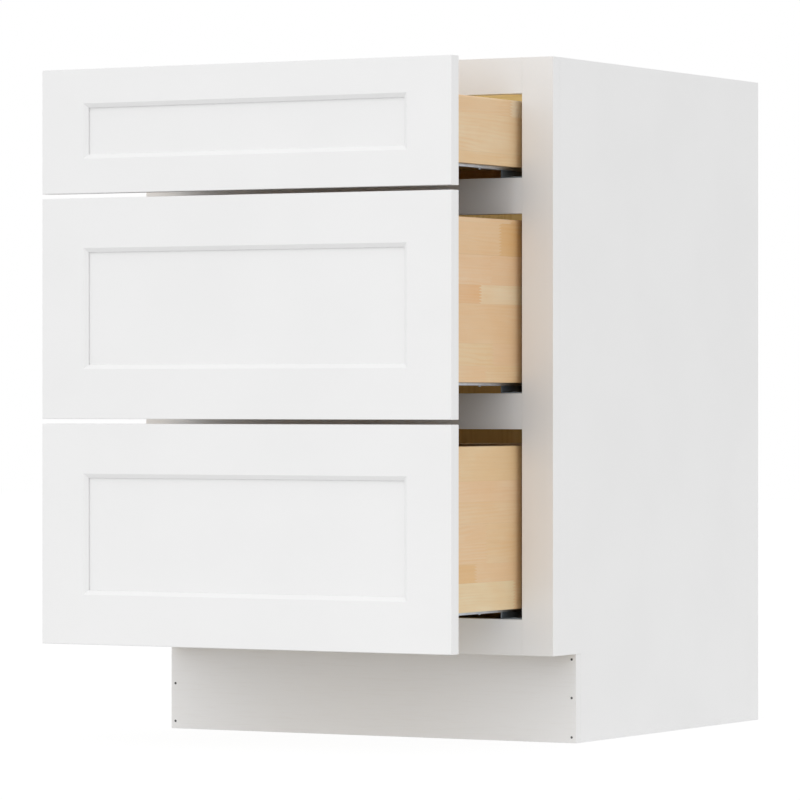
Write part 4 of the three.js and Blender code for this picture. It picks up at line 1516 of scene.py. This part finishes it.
@dataclass(frozen=True)
class Studio:
    """A white room: an even sky, a pale floor and soft lamps.

    Attributes:
        floor_half: Half the side of the floor.
        floor_drop: How far the floor lies below the cabinet's feet, so that the two don't flicker.
        sky_level: Strength of the sky as light.
        floor_bounce: Share of light that the floor throws back on to the cabinet.
        near_lift: Light from the floor by the cabinet that its own shadow doesn't take away.
        far_lift: The same from the floor farther off.
        lift_fade: Distances between which the first gives way to the second.
        floor_glow: Share of the floor's white, as the camera sees it, that shadows don't darken.
        floor_shadow: Share of it that they do.
        lamps: The lamps.
        STRAIGHT_RAYS: The rays that see sky and floor as white.
    """

    floor_half: float = 14.0
    floor_drop: float = 0.1 * MM
    sky_level: float = 0.96
    floor_bounce: float = 0.36
    near_lift: float = 0.39
    far_lift: float = 0.2
    lift_fade: tuple[float, float] = (0.6, 1.8)
    floor_glow: float = 0.955
    floor_shadow: float = 0.06
    lamps: tuple[Lamp, ...] = (
        Lamp("low_softbox", (-1.0, -5.0, 0.9), (0.0, -0.2, 0.45), 2.0, 19.6),
        Lamp("high_softbox", (0.2, -4.0, 4.6), (0.0, -0.2, 0.45), 2.0, 22.2),
        Lamp("near_softbox", (2.2, -4.6, 1.6), (0.0, -0.2, 0.45), 2.0, 7.2),
        Lamp("side_softbox", (4.6, 0.3, 1.6), (0.0, 0.0, 0.45), 2.4, 9.6),
    )

    STRAIGHT_RAYS = ("Is Camera Ray", "Is Glossy Ray", "Is Transmission Ray")

    def build(self) -> None:
        """Makes the sky, the floor and the lamps."""
        scene = bpy.context.scene
        scene.view_settings.view_transform = "Standard"
        self._make_sky(scene)
        self._make_floor()
        for lamp in self.lamps:
            lamp.build()

    def _seen_straight(self, graph: Graph) -> Signal:
        """Tells the rays that show white from those that carry light.

        Args:
            graph: The node tree of the sky or of the floor.

        Returns:
            1 for rays of the camera, of mirrors and of clear pieces, and 0 for all others.
        """
        path = graph.node("ShaderNodeLightPath").socket.node.outputs
        camera, mirror, clear = (Signal(graph, path[name]) for name in self.STRAIGHT_RAYS)
        return graph.math("MINIMUM", camera + mirror + clear, 1.0)

    def _make_sky(self, scene: bpy.types.Scene) -> None:
        """Gives the scene an even sky that looks pure white.

        Args:
            scene: The scene.
        """
        world = bpy.data.worlds.new("studio_sky")
        world.use_nodes = True
        scene.world = world
        graph = Graph(world.node_tree)
        seen = self._seen_straight(graph)
        strength = self.sky_level + (1.0 - self.sky_level) * seen
        sky = graph.node("ShaderNodeBackground", inputs={"Color": WHITE, "Strength": strength})
        graph.node("ShaderNodeOutputWorld", inputs={"Surface": sky})
        log.info("studio_sky: world")

    def _make_floor(self) -> None:
        """A pale floor that looks white and keeps the cabinet's shadow."""
        body = bmesh.new()
        half = self.floor_half
        corners = [(-half, -half), (half, -half), (half, half), (-half, half)]
        body.faces.new([body.verts.new((x, y, -self.floor_drop)) for x, y in corners])
        mesh = bpy.data.meshes.new("studio_floor")
        body.to_mesh(mesh)
        body.free()
        material = bpy.data.materials.new("floor_sheet")
        material.use_nodes = True
        graph = Graph(material.node_tree)
        lighting = self._sheet(graph, self.floor_bounce, self._lift(graph))
        seen = self._sheet(graph, self.floor_shadow, self.floor_glow)
        inputs = {0: self._seen_straight(graph), 1: lighting, 2: seen}
        mixed = graph.node("ShaderNodeMixShader", inputs=inputs)
        graph.node("ShaderNodeOutputMaterial", inputs={"Surface": mixed})
        mesh.materials.append(material)
        floor = bpy.data.objects.new("studio_floor", mesh)
        bpy.context.scene.collection.objects.link(floor)
        log.info("studio_floor: stage")

    def _lift(self, graph: Graph) -> Signal:
        """The floor's own light, which changes with the distance from the cabinet.

        Args:
            graph: The floor's node tree.

        Returns:
            The strength of that light.
        """
        x, y, _ = graph.place()
        away = graph.math("SQRT", x * x + y * y).rise(*self.lift_fade)
        return self.near_lift + (self.far_lift - self.near_lift) * away

    @staticmethod
    def _sheet(graph: Graph, bounce: float, glow: Signal | float) -> Signal:
        """A grey sheet that glows by itself.

        Args:
            graph: The floor's node tree.
            bounce: Share of the light that it throws back.
            glow: Strength of its own light.

        Returns:
            The shader.
        """
        grey = graph.node("ShaderNodeBsdfDiffuse", inputs={"Color": (bounce, bounce, bounce, 1.0)})
        light = graph.node("ShaderNodeEmission", inputs={"Color": WHITE, "Strength": glow})
        return graph.node("ShaderNodeAddShader", inputs={0: grey, 1: light})


@dataclass(frozen=True)
class PortraitCamera:
    """The camera of the portrait: level, to the right of the cabinet and far off.

    Attributes:
        right: Distance to the right of the cabinet's middle.
        ahead: Distance in front of the face frame.
        height: Height above the floor.
        yaw: Turn to the left from straight ahead, in degrees.
        focal_pixels: Focal length in pixels of the picture.
        frame_pixels: Width of the picture in pixels.
        sensor: Width of the sensor in millimetres.
        far_clip: Distance beyond which the camera sees nothing.
    """

    right: float = 3.24323
    ahead: float = 5.6263
    height: float = 0.43983
    yaw: float = 29.33
    focal_pixels: float = 4997.36
    frame_pixels: float = 800.0
    sensor: float = 36.0
    far_clip: float = 100.0

    def build(self) -> None:
        """Sets up the camera."""
        data = bpy.data.cameras.new("portrait_camera")
        data.sensor_width = self.sensor
        data.lens = self.focal_pixels / self.frame_pixels * self.sensor
        data.clip_end = self.far_clip
        camera = bpy.data.objects.new("portrait_camera", data)
        frame_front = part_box("rail_top")[0].y
        camera.location = (self.right, frame_front - self.ahead, self.height)
        camera.rotation_euler = (math.radians(90), 0.0, math.radians(self.yaw))
        bpy.context.scene.collection.objects.link(camera)
        bpy.context.scene.camera = camera
        log.info("portrait_camera: lens %.1f mm", data.lens)


def main() -> None:
    """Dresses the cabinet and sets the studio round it."""
    logging.basicConfig(level=logging.INFO, format="%(message)s")
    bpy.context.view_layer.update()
    PortraitCamera().build()
    Studio().build()
    Carcass().build()
    FaceFrame().build()
    for tier in Tier:
        Drawer(tier).build()


if __name__ == "__main__":
    main()
